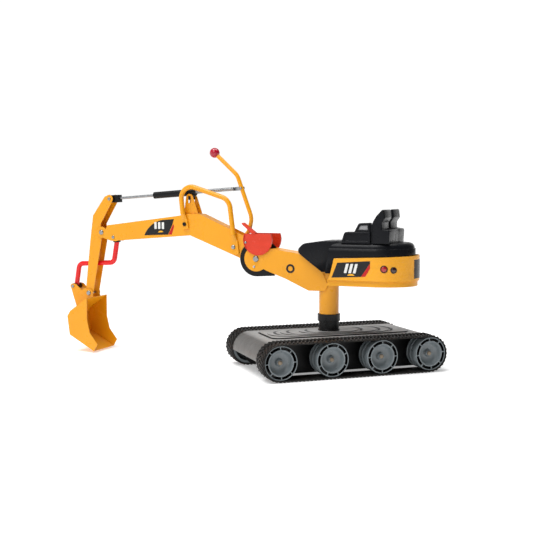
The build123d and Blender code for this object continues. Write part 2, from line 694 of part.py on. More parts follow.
# ---- lever and push rod ---------------------------------------------------------------------
def lever():
    """The hand lever: a bent tube with a cross sleeve at its pivot."""
    points = [(x, 0, z) for x, z in (LEVER_PIVOT, (290, 455), (280, 497), LEVER_ELBOW, LEVER_END)]
    tube = bent_tube(points, [38, 60, 55], LEVER_RADIUS, 1.6)
    tube = tube - slab(disc(LEVER_PIVOT, 9), -20, 20) - slab(disc(ROD_BACK, 3), -20, 20)
    ring = disc(LEVER_PIVOT, 9.5) - disc(LEVER_PIVOT, 4 + RUNNING_GAP)
    return tube + slab(ring, -BOOM_INSIDE + 0.4, BOOM_INSIDE - 0.4)


def knob():
    """The ball on the lever's end, bored for the tube."""
    ball = Pos(KNOB_CENTRE[0], 0, KNOB_CENTRE[1]) * Sphere(KNOB_RADIUS)
    return ball - bar(LEVER_ELBOW, LEVER_END, LEVER_RADIUS)


def rod_pin():
    """The cross pin in the lever that drives the push rod."""
    shank = slab(disc(ROD_BACK, 3), -14, 8.5)
    return shank + domed_head(ROD_BACK, 5, 2, 8.5, 1) + slab(disc(ROD_BACK, 5), -16, -14)


def rod_bar(start, end, radius):
    """A round bar along the rod between two distances from its back pin."""
    return bar(toward(ROD_BACK, ROD_FRONT, start), toward(ROD_BACK, ROD_FRONT, end), radius)


def push_rod():
    """A silver rod, thick behind and thin in front, with a strap to the lever."""
    length = hypot(ROD_FRONT[0] - ROD_BACK[0], ROD_FRONT[1] - ROD_BACK[1])
    rod = rod_bar(30, THICK_ROD_END, THICK_ROD_RADIUS)
    rod = rod + rod_bar(THICK_ROD_END, length - ROD_STOP, THIN_ROD_RADIUS)
    joint_x, joint_z = toward(ROD_BACK, ROD_FRONT, 38)
    strap = outline((ROD_BACK[0], ROD_BACK[1] + 7), (joint_x, joint_z + 6),
                    (joint_x, joint_z - 6), (ROD_BACK[0], ROD_BACK[1] - 7))
    strap = strap + disc(ROD_BACK, 7) - disc(ROD_BACK, 3 + RUNNING_GAP)
    block = outline((joint_x - 7, joint_z + 5.5), (joint_x, joint_z + 5.2),
                    (joint_x, joint_z - 6.2), (joint_x - 7, joint_z - 5.9))
    return rod + slab(strap, -12, -8.5) + slab(block, -12, 0)


def rod_eye():
    """The black plastic eye on the rod's front end, with a generous hole."""
    length = hypot(ROD_FRONT[0] - ROD_BACK[0], ROD_FRONT[1] - ROD_BACK[1])
    fx, fz = ROD_FRONT
    block = disc(ROD_FRONT, 13.5) + outline(
        (fx - 34, fz + 15), (fx, fz + 13.5), (fx, fz - 13.5), (fx - 36, fz - 12))
    eye = slab(block - disc(ROD_FRONT, ROD_EYE_HOLE), -12, 12)
    return eye - rod_bar(length - 60, length - ROD_STOP, THIN_ROD_RADIUS)


def rod_sleeve():
    """The black sleeve that slides on the rod, with a lug and trunnions below it."""
    body = rod_bar(SLEEVE_START, SLEEVE_END, SLEEVE_RADIUS)
    tx, tz = TRUNNION
    lug = slab(outline((tx - 12, tz + 14), (tx + 14, tz + 14), (tx + 7, tz - 4), (tx - 7, tz - 4)), -9, 9)
    lug = lug + slab(disc(TRUNNION, 7), -BRACKET_INSIDE + 0.6, BRACKET_INSIDE - 0.6)
    pins = slab(disc(TRUNNION, 3), -BRACKET_OUTSIDE - 1, BRACKET_OUTSIDE + 1)
    whole = body + lug + pins
    whole = whole - rod_bar(SLEEVE_START - 5, SLEEVE_START + 20, THICK_ROD_RADIUS + RUNNING_GAP)
    whole = whole - rod_bar(SLEEVE_START + 12, SLEEVE_END - 12, SLEEVE_RADIUS - 2)
    return whole - rod_bar(SLEEVE_END - 20, SLEEVE_END + 5, THIN_ROD_RADIUS + RUNNING_GAP)


# ---- stick, bucket and link -----------------------------------------------------------------
def stick():
    """A folded channel, open at the back, with a slot in front for the link."""
    sx, sz = BUCKET_PIVOT
    side = outline(
        (858, 571), (909, 502), (922, 411), (942.5, 244), (944, 222), (sx - 14, 210), (907.5, 245),
        (874.5, 412), (876.5, 472), (825, 557), (836, 579))
    side = side + disc(BUCKET_PIVOT, 14.5) + disc(ROD_FRONT, 15)
    for centre, radius in ((STICK_PIVOT, 8), (ROD_FRONT, LOOSE_PIN), (BUCKET_PIVOT, 5)):
        side = side - disc(centre, radius)
    plates = pair(side, STICK_INSIDE, STICK_OUTSIDE)
    web = outline((858, 571), (909, 502), (922, 411), (941, 256), (939, 256), (920, 410.8),
                  (907.1, 501.4), (856.4, 569.8))
    front = slab(web, -STICK_INSIDE, STICK_INSIDE) - (Pos(925, 0, 325) * Box(60, 22, 74))
    return joined(plates + [front])


def stick_sleeve():
    """The tube across the stick that turns on the stick bolt."""
    ring = disc(STICK_PIVOT, 8) - disc(STICK_PIVOT, 5 + RUNNING_GAP)
    return slab(ring, -STICK_OUTSIDE - 1.4, STICK_OUTSIDE + 1.4)


def bucket():
    """Pressed bucket with two ears, open towards the driver, with teeth on its lip."""
    lip, chin = (883, 6), (867.5, 32)
    wall = outline((911, 201), (984, 150), (996, 131), (987, 62), lip, chin, (900, 73), (911, 120))
    walls = pair(wall, BUCKET_HALF_WIDTH - BUCKET_SHEET, BUCKET_HALF_WIDTH)
    inner = outline((912.2, 198.4), (982.1, 148.4), (993.4, 130.5), (984.7, 63.6), (884.3, 9.6), (860, -4),
                    (850, 60), (850, 210), (900, 210))
    back = slab(wall - inner, -BUCKET_HALF_WIDTH, BUCKET_HALF_WIDTH)
    lx, lz = BUCKET_LINK_PIN
    bx, bz = BUCKET_PIVOT
    ear = outline((lx + 7, lz - 8), (lx - 4, lz + 10), (986, 246), (961, 224), (946, 233),
                  (bx - 13, bz + 3), (911.5, 199.5), (980, 151))
    ear = ear + disc(BUCKET_LINK_PIN, 10.5) + disc(BUCKET_PIVOT, 16.5)
    under = outline((905, 205.2), (990, 145.8), (990, 100), (905, 100))
    ear = ear - under - disc(BUCKET_PIVOT, 5 + RUNNING_GAP) - disc(BUCKET_LINK_PIN, LOOSE_PIN)
    ears = pair(ear, EAR_INSIDE, EAR_OUTSIDE)
    tooth_plan = outline((-8, 0), (8, 0), (4, 9.5), (-4, 9.5))
    slope = Plane(origin=(884.6, 0, 6.9), x_dir=(0, 1, 0), z_dir=(0.504, 0, -0.864))
    tooth = extrude(slope * tooth_plan, amount=2.5)
    gap = 2 * (BUCKET_HALF_WIDTH - 10) / (TEETH - 1)
    teeth = [Pos(0, gap * (index - (TEETH - 1) / 2), 0) * tooth for index in range(TEETH)]
    return joined(walls + [back] + ears + teeth)


def link_arm():
    """The red bent tube that turns the bucket as the stick swings."""
    points = [(x, 0, z) for x, z in LINK_PATH]
    return bent_tube(points, [17, 17], LINK_RADIUS, 1.6)


def link_top():
    """The black plastic end inside the boom, with its generous hole."""
    px, pz = LINK_PIVOT
    stem = outline((px - 11, pz), (px + 11, pz), (px + 11, pz - 24), (px - 11, pz - 24))
    body = disc(LINK_PIVOT, 15) + stem
    body = slab(body - disc(LINK_PIVOT, LOOSE_HOLE), -11, 11)
    return body - bar(LINK_PATH[1], LINK_PATH[0], LINK_RADIUS)


def link_foot():
    """The black plastic barrel between the bucket's ears."""
    px, pz = BUCKET_LINK_PIN
    body = slab(disc(BUCKET_LINK_PIN, 11), -21, 21)
    body = body + slab(outline((px - 14, pz + 22), (px + 8, pz + 24), (px + 10, pz), (px - 10, pz)), -11, 11)
    body = body - slab(disc(BUCKET_LINK_PIN, LOOSE_PIN + RUNNING_GAP), -21, 21)
    return body - bar(LINK_PATH[2], LINK_PATH[3], LINK_RADIUS)


# ---- every piece as its own node ------------------------------------------------------------
def all_nodes():
    nodes = {
        "deck_cover": on_base(deck_cover()),
        "chassis_frame": on_base(chassis_frame()),
        "slew_post": on_base(slew_post()),
        "post_bolts": on_base(post_bolts()),
        "post_cap": post_cap(),
        "column_socket": column_socket(),
        "track_left": on_base(track(1)),
        "track_right": on_base(track(-1)),
        "axles": on_base(group([axle(index) for index in range(AXLE_COUNT)])),
        "axle_caps": on_base(axle_caps()),
        "column": column(),
        "swivel_ring": swivel_ring(),
        "slew_bushes": slew_bushes(),
        "base_arm": base_arm(),
        "seat_plate": seat_plate(),
        "seat_screws": seat_screws(),
        "fairing": fairing(),
        "fairing_skirt": fairing_skirt(),
        "seat_shell": seat_shell(),
        "seat_back": seat_back(),
        "seat_windows": group([window_insert(side) for side in (1, -1)]),
        "upper_panels": group([fairing_panels(), badge()]),
        "fairing_stripes": fairing_stripes(),
        "lamps_red": lamp((-216, 344), 3, 12),
        "lamps_dark": lamp((-244, 341), 3, 12),
        "pivot_shrouds": group([pivot_shroud(side) for side in (1, -1)]),
        "shroud_screws": group([shroud_screw(side) for side in (1, -1)]),
        "lift_bolt": cross_bolt(LIFT_PIVOT, LIFT_PIN_RADIUS, BASE_ARM_OUTSIDE, 10.5, 5),
        "boom": boom(),
        "lift_sleeve": lift_sleeve(),
        "sleeve_bracket": sleeve_bracket(),
        "grab_handle": grab_handle(),
        "handle_screw": handle_screw(),
        "pinch_guards": pinch_guards(),
        "guard_bolts": guard_bolts(),
        "boom_panels": boom_panels(),
        "boom_stripes": boom_stripes(),
        "boom_bolts": group([cross_bolt(STICK_PIVOT, 5, BOOM_OUTSIDE, 9, 4.5),
                             cross_bolt(LINK_PIVOT, LOOSE_PIN, BOOM_OUTSIDE, 6, 3.5)]),
        "lever_bolt": lever_bolt(),
        "lever": lever(),
        "knob": knob(),
        "rod_pin": rod_pin(),
        "push_rod": push_rod(),
        "rod_eye": rod_eye(),
        "rod_sleeve": rod_sleeve(),
        "stick": stick(),
        "stick_sleeve": stick_sleeve(),
        "stick_top_bolt": cross_bolt(ROD_FRONT, LOOSE_PIN, STICK_OUTSIDE, 6, 3.5),
        "bucket": bucket(),
        "bucket_bolts": group([cross_bolt(BUCKET_PIVOT, 5, EAR_OUTSIDE, 9, 4.5),
                               cross_bolt(BUCKET_LINK_PIN, LOOSE_PIN, EAR_OUTSIDE, 6, 3.5)]),
        "link_arm": link_arm(),
        "link_ends": group([link_top(), link_foot()]),
    }
    for side, name in ((1, "left"), (-1, "right")):
        for index in range(AXLE_COUNT):
            nodes[f"wheel_{name}_{index + 1}"] = on_base(wheel_at(index, side))
    return nodes


if __name__ == "__main__":
    os.makedirs("parts", exist_ok=True)
    for name, shape in all_nodes().items():
        export_step(shape, f"parts/{name}.step")
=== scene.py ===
"""Looks of the ride-on digger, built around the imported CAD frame. Metres; +X along the arm, +Z up."""
import json
from math import atan2, cos, pi, radians, sin, tan, tau

import bmesh
import bpy
from mathutils import Matrix, Vector


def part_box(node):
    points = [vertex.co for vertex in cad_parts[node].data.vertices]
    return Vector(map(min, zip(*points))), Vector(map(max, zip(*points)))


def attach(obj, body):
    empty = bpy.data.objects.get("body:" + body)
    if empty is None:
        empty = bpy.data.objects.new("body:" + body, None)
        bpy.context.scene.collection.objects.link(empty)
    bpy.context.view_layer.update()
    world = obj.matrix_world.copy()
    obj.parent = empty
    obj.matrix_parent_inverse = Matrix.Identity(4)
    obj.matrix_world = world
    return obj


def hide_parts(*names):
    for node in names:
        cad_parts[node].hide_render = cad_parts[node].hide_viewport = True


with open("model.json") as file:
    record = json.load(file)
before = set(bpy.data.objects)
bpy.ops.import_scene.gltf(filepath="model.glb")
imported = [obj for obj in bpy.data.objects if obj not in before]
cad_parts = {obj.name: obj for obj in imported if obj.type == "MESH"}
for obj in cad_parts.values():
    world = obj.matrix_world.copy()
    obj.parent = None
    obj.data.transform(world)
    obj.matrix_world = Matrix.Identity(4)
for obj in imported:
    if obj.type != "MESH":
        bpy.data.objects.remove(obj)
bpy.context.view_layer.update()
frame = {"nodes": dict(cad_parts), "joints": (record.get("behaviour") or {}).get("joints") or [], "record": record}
NODES = frame["nodes"]
JOINTS = {joint["name"]: joint for joint in frame["joints"]}


# ---- node graphs ----------------------------------------------------------------------------
class Graph:
    """A material's nodes, with short calls for the ones used here."""

    def __init__(self, name, coordinates="Object"):
        self.material = bpy.data.materials.new(name)
        self.material.use_nodes = True
        self.tree = self.material.node_tree
        self.shader = self.tree.nodes["Principled BSDF"]
        self.place = self.add("ShaderNodeTexCoord").outputs[coordinates]

    def add(self, kind, **settings):
        node = self.tree.nodes.new(kind)
        for key, value in settings.items():
            setattr(node, key, value)
        return node

    def feed(self, socket, value):
        if isinstance(value, bpy.types.NodeSocket):
            self.tree.links.new(value, socket)
        else:
            socket.default_value = value

    def stretched(self, scale):
        node = self.add("ShaderNodeMapping")
        self.feed(node.inputs["Vector"], self.place)
        node.inputs["Scale"].default_value = scale
        return node.outputs["Vector"]

    def noise(self, scale, detail=3.0, rough=0.55, where=None):
        node = self.add("ShaderNodeTexNoise")
        self.feed(node.inputs["Vector"], where or self.place)
        node.inputs["Scale"].default_value = scale
        node.inputs["Detail"].default_value = detail
        node.inputs["Roughness"].default_value = rough
        return node.outputs["Fac"]

    def cells(self, scale, where=None):
        node = self.add("ShaderNodeTexVoronoi")
        self.feed(node.inputs["Vector"], where or self.place)
        node.inputs["Scale"].default_value = scale
        return node.outputs["Distance"]

    def math(self, operation, a, b=0.0, clamp=False):
        node = self.add("ShaderNodeMath", operation=operation, use_clamp=clamp)
        self.feed(node.inputs[0], a)
        self.feed(node.inputs[1], b)
        return node.outputs[0]

    def span(self, value, low, high, out_low=0.0, out_high=1.0):
        node = self.add("ShaderNodeMapRange")
        self.feed(node.inputs["Value"], value)
        for key, number in (("From Min", low), ("From Max", high), ("To Min", out_low), ("To Max", out_high)):
            node.inputs[key].default_value = number
        return node.outputs["Result"]

    def blend(self, factor, a, b, mode="MIX"):
        node = self.add("ShaderNodeMix", data_type="RGBA", blend_type=mode)
        self.feed(node.inputs["Factor"], factor)
        self.feed(node.inputs["A"], a)
        self.feed(node.inputs["B"], b)
        return node.outputs["Result"]

    def axis(self, source, index):
        node = self.add("ShaderNodeSeparateXYZ")
        self.feed(node.inputs[0], source)
        return node.outputs[index]

    def facing_up(self):
        return self.axis(self.add("ShaderNodeNewGeometry").outputs["Normal"], 2)

    def rounded(self, radius):
        node = self.add("ShaderNodeBevel", samples=4)
        node.inputs["Radius"].default_value = radius
        return node.outputs["Normal"]

    def edges(self, radius, low=0.02, high=0.25):
        """1 along edges and corners, 0 on open faces."""
        dot = self.add("ShaderNodeVectorMath", operation="DOT_PRODUCT")
        self.feed(dot.inputs[0], self.rounded(radius))
        self.feed(dot.inputs[1], self.add("ShaderNodeNewGeometry").outputs["Normal"])
        return self.span(self.math("SUBTRACT", 1.0, dot.outputs["Value"]), low, high)

    def bump(self, *layers, normal=None):
        """Bump layers, each (height, distance in metres, strength)."""
        for height, distance, strength in layers:
            node = self.add("ShaderNodeBump")
            self.feed(node.inputs["Height"], height)
            node.inputs["Distance"].default_value = distance
            node.inputs["Strength"].default_value = strength
            if normal is not None:
                self.feed(node.inputs["Normal"], normal)
            normal = node.outputs["Normal"]
        self.feed(self.shader.inputs["Normal"], normal)

    def set(self, **values):
        names = {"color": "Base Color", "roughness": "Roughness", "metallic": "Metallic",
                 "coat": "Coat Weight", "coat_roughness": "Coat Roughness",
                 "specular": "Specular IOR Level", "ior": "IOR",
                 "anisotropy": "Anisotropic", "glow": "Emission Strength"}
        for key, value in values.items():
            self.feed(self.shader.inputs[names[key]], value)
        return self.material


def rgb(red, green, blue):
    return (red, green, blue, 1.0)


def toned(color, factor, lift=0.0):
    """A colour made darker or paler in every channel, no brighter than white."""
    return rgb(*[min(1.0, channel * factor + lift) for channel in color[:3]])


# ---- materials ------------------------------------------------------------------------------
def powder_coat(name, color, worn, gloss=0.30):
    """Sprayed and baked paint on steel: slight orange peel, thin wear on edges, soft dust above."""
    g = Graph(name)
    patches = g.noise(9.0, 4.0)
    tone = g.blend(g.span(patches, 0.35, 0.7, 0.0, 0.28), color, toned(color, 0.84))
    specks = g.span(g.noise(620.0, 2.0), 0.58, 0.72, 0.0, 0.16)
    tone = g.blend(specks, tone, toned(color, 1.12, 0.01))
    wear = g.math("MULTIPLY", g.edges(0.0012), g.span(g.noise(130.0, 5.0), 0.50, 0.66))
    tone = g.blend(g.math("MULTIPLY", wear, 0.55), tone, worn)
    dust = g.math("MULTIPLY", g.span(g.facing_up(), 0.6, 1.0), g.span(g.noise(38.0, 5.0), 0.35, 0.75))
    tone = g.blend(g.math("MULTIPLY", dust, 0.10), tone, rgb(0.80, 0.74, 0.64))
    satin = g.span(g.noise(24.0, 4.0), 0.3, 0.7, gloss - 0.05, gloss + 0.08)
    shine = g.math("ADD", satin, g.math("MULTIPLY", dust, 0.10))
    g.bump((g.noise(430.0, 2.0), 0.00022, 0.20), (g.noise(60.0, 2.0), 0.0006, 0.07), normal=g.rounded(0.0011))
    return g.set(color=tone, roughness=shine, coat=0.12, coat_roughness=0.16, specular=0.35)


def moulded(name, color, roughness, grain=1500.0, depth=0.00009, dust_color=rgb(0.34, 0.32, 0.29),
            dusty=0.15, pale=0.25, coat=0.0, round_off=0.0011, specular=0.5):
    """Moulded plastic: fine grain, flow-mark streaks, paler rubbed edges and dust on top faces."""
    g = Graph(name)
    streaks = g.noise(5.0, 3.0, where=g.stretched((1.0, 3.0, 9.0)))
    tone = g.blend(g.span(streaks, 0.35, 0.68, 0.0, 0.5), color, toned(color, 0.78))
    mottled = g.span(g.noise(260.0, 3.0), 0.45, 0.75, 0.0, 0.22)
    tone = g.blend(mottled, tone, toned(color, 1.35, 0.004))
    rubbed = g.math("MULTIPLY", g.edges(0.0014), g.span(g.noise(90.0, 4.0), 0.42, 0.66))
    tone = g.blend(g.math("MULTIPLY", rubbed, pale), tone, toned(color, 2.2, 0.05))
    above = g.math("MULTIPLY", g.span(g.facing_up(), 0.35, 1.0), g.span(g.noise(46.0, 6.0), 0.38, 0.72))
    tone = g.blend(g.math("MULTIPLY", above, dusty), tone, dust_color)
    shine = g.span(g.noise(33.0, 4.0), 0.3, 0.72, roughness - 0.06, roughness + 0.09)
    shine = g.math("ADD", shine, g.math("MULTIPLY", above, 0.18))
    g.bump((g.noise(grain, 2.0), depth, 0.35), (g.noise(75.0, 2.0), 0.0005, 0.05),
           normal=g.rounded(round_off))
    return g.set(color=tone, roughness=shine, coat=coat, coat_roughness=0.12, specular=specular)


def rubber(name):
    """Tread rubber: black in the gaps, rubbed brown-grey on the bars' edges, and brown on faces turned upwards,
    partly dust and partly a painted highlight.
    """
    g = Graph(name)
    patches = g.span(g.noise(70.0, 4.0), 0.35, 0.7)
    color = g.blend(patches, rgb(0.004, 0.004, 0.0045), rgb(0.012, 0.011, 0.0105))
    worn = g.math("MULTIPLY", g.edges(0.0016, 0.01, 0.2), g.span(g.noise(58.0, 5.0), 0.44, 0.64))
    color = g.blend(g.math("MULTIPLY", worn, 0.60), color, rgb(0.105, 0.085, 0.068))
    # Dust and painted highlight: faces turned upwards take a brown tone for dust and for the light on the bars.
    above = g.math("MULTIPLY", g.span(g.facing_up(), 0.0, 0.9), g.span(g.noise(26.0, 5.0), 0.46, 0.70))
    color = g.blend(g.math("MULTIPLY", above, 0.16), color, rgb(0.12, 0.09, 0.065))
    g.bump((g.noise(900.0, 3.0), 0.00018, 0.4), (g.noise(160.0, 3.0), 0.0004, 0.25), normal=g.rounded(0.0009))
    return g.set(color=color, roughness=g.span(g.noise(90.0, 3.0), 0.3, 0.7, 0.42, 0.66), specular=0.22)


def plated(name, color, roughness, brushing=None):
    """Plated steel with fine turning or drawing lines and a little haze."""
    g = Graph(name)
    where = g.stretched(brushing) if brushing else None
    lines = g.noise(240.0, 4.0, 0.7, where)
    haze = g.noise(55.0, 4.0)
    tone = g.blend(g.span(haze, 0.35, 0.72, 0.0, 0.5), color, toned(color, 0.72))
    spots = g.span(g.noise(310.0, 5.0), 0.62, 0.74, 0.0, 0.4)
    tone = g.blend(spots, tone, toned(color, 0.45))
    g.bump((lines, 0.00012, 0.35), normal=g.rounded(0.0006))
    satin = g.span(lines, 0.3, 0.7, roughness - 0.05, roughness + 0.10)
    shine = g.math("ADD", satin, g.math("MULTIPLY", spots, 0.3))
    return g.set(color=tone, roughness=shine, metallic=1.0)


def film(name, color, roughness=0.22):
    """Printed gloss film, with faint ripples where it follows the part under it."""
    g = Graph(name)
    paler = rgb(*[channel * 1.3 + 0.006 for channel in color[:3]])
    tone = g.blend(g.span(g.noise(30.0, 3.0), 0.3, 0.75, 0.0, 0.4), color, paler)
    nicks = g.math("MULTIPLY", g.edges(0.0008), g.span(g.noise(240.0, 4.0), 0.55, 0.68))
    tone = g.blend(g.math("MULTIPLY", nicks, 0.5), tone, rgb(0.6, 0.58, 0.54))
    g.bump((g.noise(120.0, 2.0), 0.0003, 0.08), (g.noise(1400.0, 1.0), 0.00005, 0.15))
    shine = g.span(g.noise(60.0, 3.0), 0.3, 0.7, roughness - 0.05, roughness + 0.08)
    return g.set(color=tone, roughness=shine, coat=0.10, coat_roughness=0.08, specular=0.25)


def lens(name, color):
    """Glossy moulded lens with a prism pattern behind its face."""
    g = Graph(name)
    prisms = g.cells(330.0)
    tone = g.blend(g.span(prisms, 0.1, 0.7), toned(color, 1.9, 0.01), color)
    g.bump((prisms, 0.0004, 0.35), (g.noise(500.0), 0.00005, 0.2), normal=g.rounded(0.001))
    return g.set(color=tone, roughness=g.span(prisms, 0.0, 0.8, 0.08, 0.22), coat=0.8, coat_roughness=0.05)


def deck_plastic(name):
    """Silver-grey filled plastic with faint flow lines and sparkle; painted shade darkens every face that does not
    face straight up, and the tread walls and groove are painted black as shade.
    """
    g = Graph(name)
    # Painted shade: faces that do not face straight up take a much darker grey than the top faces.
    color = g.blend(g.span(g.facing_up(), 0.90, 0.995), rgb(0.075, 0.072, 0.067), rgb(0.300, 0.298, 0.292))
    flow = g.noise(60.0, 4.0, 0.6, g.stretched((1.0, 1.0, 0.2)))
    tone = g.blend(g.span(flow, 0.35, 0.68, 0.0, 0.30), color, rgb(0.125, 0.122, 0.117))
    sparkle = g.span(g.noise(1900.0, 1.0), 0.60, 0.72, 0.0, 0.22)
    tone = g.blend(sparkle, tone, rgb(0.40, 0.395, 0.38))
    rubbed = g.math("MULTIPLY", g.edges(0.0016), g.span(g.noise(70.0, 4.0), 0.35, 0.6))
    tone = g.blend(g.math("MULTIPLY", rubbed, 0.45), tone, rgb(0.55, 0.54, 0.52))
    above = g.math("MULTIPLY", g.span(g.facing_up(), 0.8, 1.0), g.span(g.noise(30.0, 6.0), 0.40, 0.75))
    tone = g.blend(g.math("MULTIPLY", above, 0.18), tone, rgb(0.36, 0.34, 0.31))
    level = g.axis(g.place, 2)
    # Painted shade: the upright walls of the raised treads above the deck level are painted black.
    wall = g.math("MULTIPLY", g.span(g.facing_up(), 0.93, 0.70),
                  g.span(level, DECK_LEVEL - 0.002, DECK_LEVEL - 0.0018))
    turned = g.add("ShaderNodeMapping")
    g.feed(turned.inputs["Vector"], g.place)
    turned.inputs["Rotation"].default_value = (0.0, 0.0, -atan2(-AXLE_DIR.x, AXLE_DIR.y))
    reach = g.math("ABSOLUTE", g.math("SUBTRACT", g.axis(turned.outputs["Vector"], 0), DECK_CENTRE))
    # Painted shade: a thin band just below the deck top, beyond the groove reach, is painted black.
    low = g.math("MULTIPLY", g.span(level, DECK_LEVEL - 0.0004, DECK_LEVEL - 0.0008),
                 g.span(level, DECK_LEVEL - 0.0024, DECK_LEVEL - 0.0020))
    groove_shade = g.math("MULTIPLY", low, g.span(reach, GROOVE_REACH, GROOVE_REACH - 0.0005))
    tone = g.blend(g.math("MAXIMUM", wall, groove_shade), tone, rgb(0.006, 0.006, 0.006))
    shine = g.math("ADD", g.span(g.noise(41.0, 4.0), 0.3, 0.7, 0.30, 0.42), g.math("MULTIPLY", above, 0.12))
    g.bump((g.noise(1100.0, 2.0), 0.0001, 0.4), (g.noise(60.0, 2.0), 0.0005, 0.06),
           normal=g.rounded(0.0014))
    return g.set(color=tone, roughness=shine, metallic=0.05, coat=0.04, coat_roughness=0.25, specular=0.4)


AXLE_DIR = Vector(JOINTS["roll_left_1"]["axis"])
BASE_TURN = Matrix.Rotation(atan2(-AXLE_DIR.x, AXLE_DIR.y), 4, "Z")
FRONT_AXLE = BASE_TURN.inverted() @ Vector(JOINTS["roll_left_1"]["pos_m"])
REAR_AXLE = BASE_TURN.inverted() @ Vector(JOINTS["roll_left_4"]["pos_m"])
DECK_CENTRE = (FRONT_AXLE.x + REAR_AXLE.x) / 2
DECK_LEVEL = FRONT_AXLE.z + 0.057
GROOVE_REACH = 0.2500
YELLOW = rgb(0.84, 0.350, 0.006)
MATERIALS = {
    "yellow_paint": powder_coat("yellow_paint", YELLOW, rgb(0.42, 0.20, 0.03)),
    "link_red": powder_coat("link_red", rgb(0.78, 0.010, 0.012), rgb(0.30, 0.02, 0.02), 0.24),
    "yellow_plastic": moulded("yellow_plastic", rgb(0.87, 0.375, 0.007), 0.24, dusty=0.05, pale=0.12,
                              dust_color=rgb(0.75, 0.62, 0.4), coat=0.12, specular=0.4),
    "skirt_plastic": moulded("skirt_plastic", rgb(0.80, 0.35, 0.008), 0.32, dusty=0.04, pale=0.10,
                             specular=0.35),
    "deck_plastic": deck_plastic("deck_plastic"),
    "frame_plastic": moulded("frame_plastic", rgb(0.005, 0.005, 0.0055), 0.36, dusty=0.03, pale=0.10,
                             specular=0.22),
    "socket_plastic": moulded("socket_plastic", rgb(0.003, 0.003, 0.0035), 0.24, dusty=0.015, pale=0.06,
                              specular=0.25),
    "seat_plastic": moulded("seat_plastic", rgb(0.0065, 0.0070, 0.0090), 0.27, grain=1300.0,
                            depth=0.00012, dusty=0.03, pale=0.22, round_off=0.002, specular=0.13),
    # Pale grey for the seat's window panel: a painted reflection on black plastic.
    "window_plastic": moulded("window_plastic", rgb(0.30, 0.30, 0.31), 0.3, dusty=0.05),
    "roller_plastic": moulded("roller_plastic", rgb(0.185, 0.212, 0.225), 0.30, dusty=0.05, pale=0.6,
                              dust_color=rgb(0.42, 0.44, 0.45)),
    "bush_plastic": moulded("bush_plastic", rgb(0.55, 0.54, 0.50), 0.45),
    "track_rubber": rubber("track_rubber"),
    "steel": plated("steel", rgb(0.52, 0.53, 0.55), 0.32),
    "bright_steel": plated("bright_steel", rgb(0.36, 0.37, 0.38), 0.24),
    "trim_black": film("trim_black", rgb(0.008, 0.008, 0.009)),
    "trim_red": film("trim_red", rgb(0.45, 0.008, 0.008)),
    "lamp_red": lens("lamp_red", rgb(0.30, 0.004, 0.005)),
    "lamp_dark": lens("lamp_dark", rgb(0.022, 0.004, 0.004)),
    "guard_red": moulded("guard_red", rgb(0.68, 0.038, 0.010), 0.22, dusty=0.03, pale=0.10,
                         dust_color=rgb(0.7, 0.3, 0.2), coat=0.1, specular=0.35),
    "knob_red": moulded("knob_red", rgb(0.42, 0.003, 0.022), 0.16, dusty=0.01, pale=0.03, coat=0.3),
}
ROD_STEEL = plated("rod_steel", rgb(0.36, 0.37, 0.38), 0.30, brushing=(0.15, 1.0, 1.0))
BRASS = plated("axle_brass", rgb(0.24, 0.195, 0.145), 0.42)
WHITE_FILM = film("white_film", rgb(0.72, 0.72, 0.70), 0.3)
YELLOW_FILM = film("yellow_film", rgb(0.86, 0.42, 0.02), 0.3)


def dress_cad_nodes():
    """Every CAD node takes the material of its slot in the record."""
    for entry in frame["record"]["subparts"]:
        node = NODES[entry["node"]]
        node.data.materials.clear()
        node.data.materials.append(MATERIALS[entry["material_slot"]])
    NODES["push_rod"].data.materials[0] = ROD_STEEL
    NODES["axle_caps"].data.materials[0] = BRASS


dress_cad_nodes()


# ---- mesh helpers ---------------------------------------------------------------------------
def piece(bm, name, body, materials, *, replaces=(), crease=38.0, smooth=True):
    """A finished object from a bmesh: it rides on a CAD body and may stand for CAD nodes."""
    bmesh.ops.recalc_face_normals(bm, faces=bm.faces)
    data = bpy.data.meshes.new(name)
    bm.to_mesh(data)
    bm.free()
    for material in materials:
        data.materials.append(material)
    if smooth:
        data.shade_smooth()
        data.set_sharp_from_angle(angle=radians(crease))
    made = bpy.data.objects.new(name, data)
    bpy.context.scene.collection.objects.link(made)
    return dress(made, body, replaces)


def dress(made, body, replaces=()):
    """Says what a finished object rides on and stands for."""
    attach(made, body)
    if replaces:
        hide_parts(*replaces)
    return made


def corners(*points, steps=5):
    """A closed outline whose corners (x, z, radius) are rounded with arcs."""
    outline = []
    count = len(points)
    for index, (x, z, radius) in enumerate(points):
        here = Vector((x, z))
        before = Vector(points[index - 1][:2]) - here
        after = Vector(points[(index + 1) % count][:2]) - here
        if radius <= 0:
            outline.append(here)
            continue
        before.normalize()
        after.normalize()
        half = before.angle(after) / 2
        start = here + before * (radius / tan(half))
        end = here + after * (radius / tan(half))
        centre = here + (before + after).normalized() * (radius / sin(half))
        first = start - centre
        turn = first.angle_signed(end - centre)
        for step in range(steps + 1):
            angle = -turn * step / steps
            spun_x = first.x * cos(angle) - first.y * sin(angle)
            spun_z = first.x * sin(angle) + first.y * cos(angle)
            outline.append(centre + Vector((spun_x, spun_z)))
    return outline


def prism(outline, low, high, bm=None, slot_index=0):
    """A side-view outline given its thickness across the machine, as closed faces."""
    bm = bm or bmesh.new()
    near = [bm.verts.new((p[0], high, p[1])) for p in outline]
    far = [bm.verts.new((p[0], low, p[1])) for p in outline]
    faces = [bm.faces.new(near), bm.faces.new(far[::-1])]
    for index in range(len(outline)):
        following = (index + 1) % len(outline)
        faces.append(bm.faces.new((near[index], far[index], far[following], near[following])))
    for face in faces:
        face.material_index = slot_index
    return bm


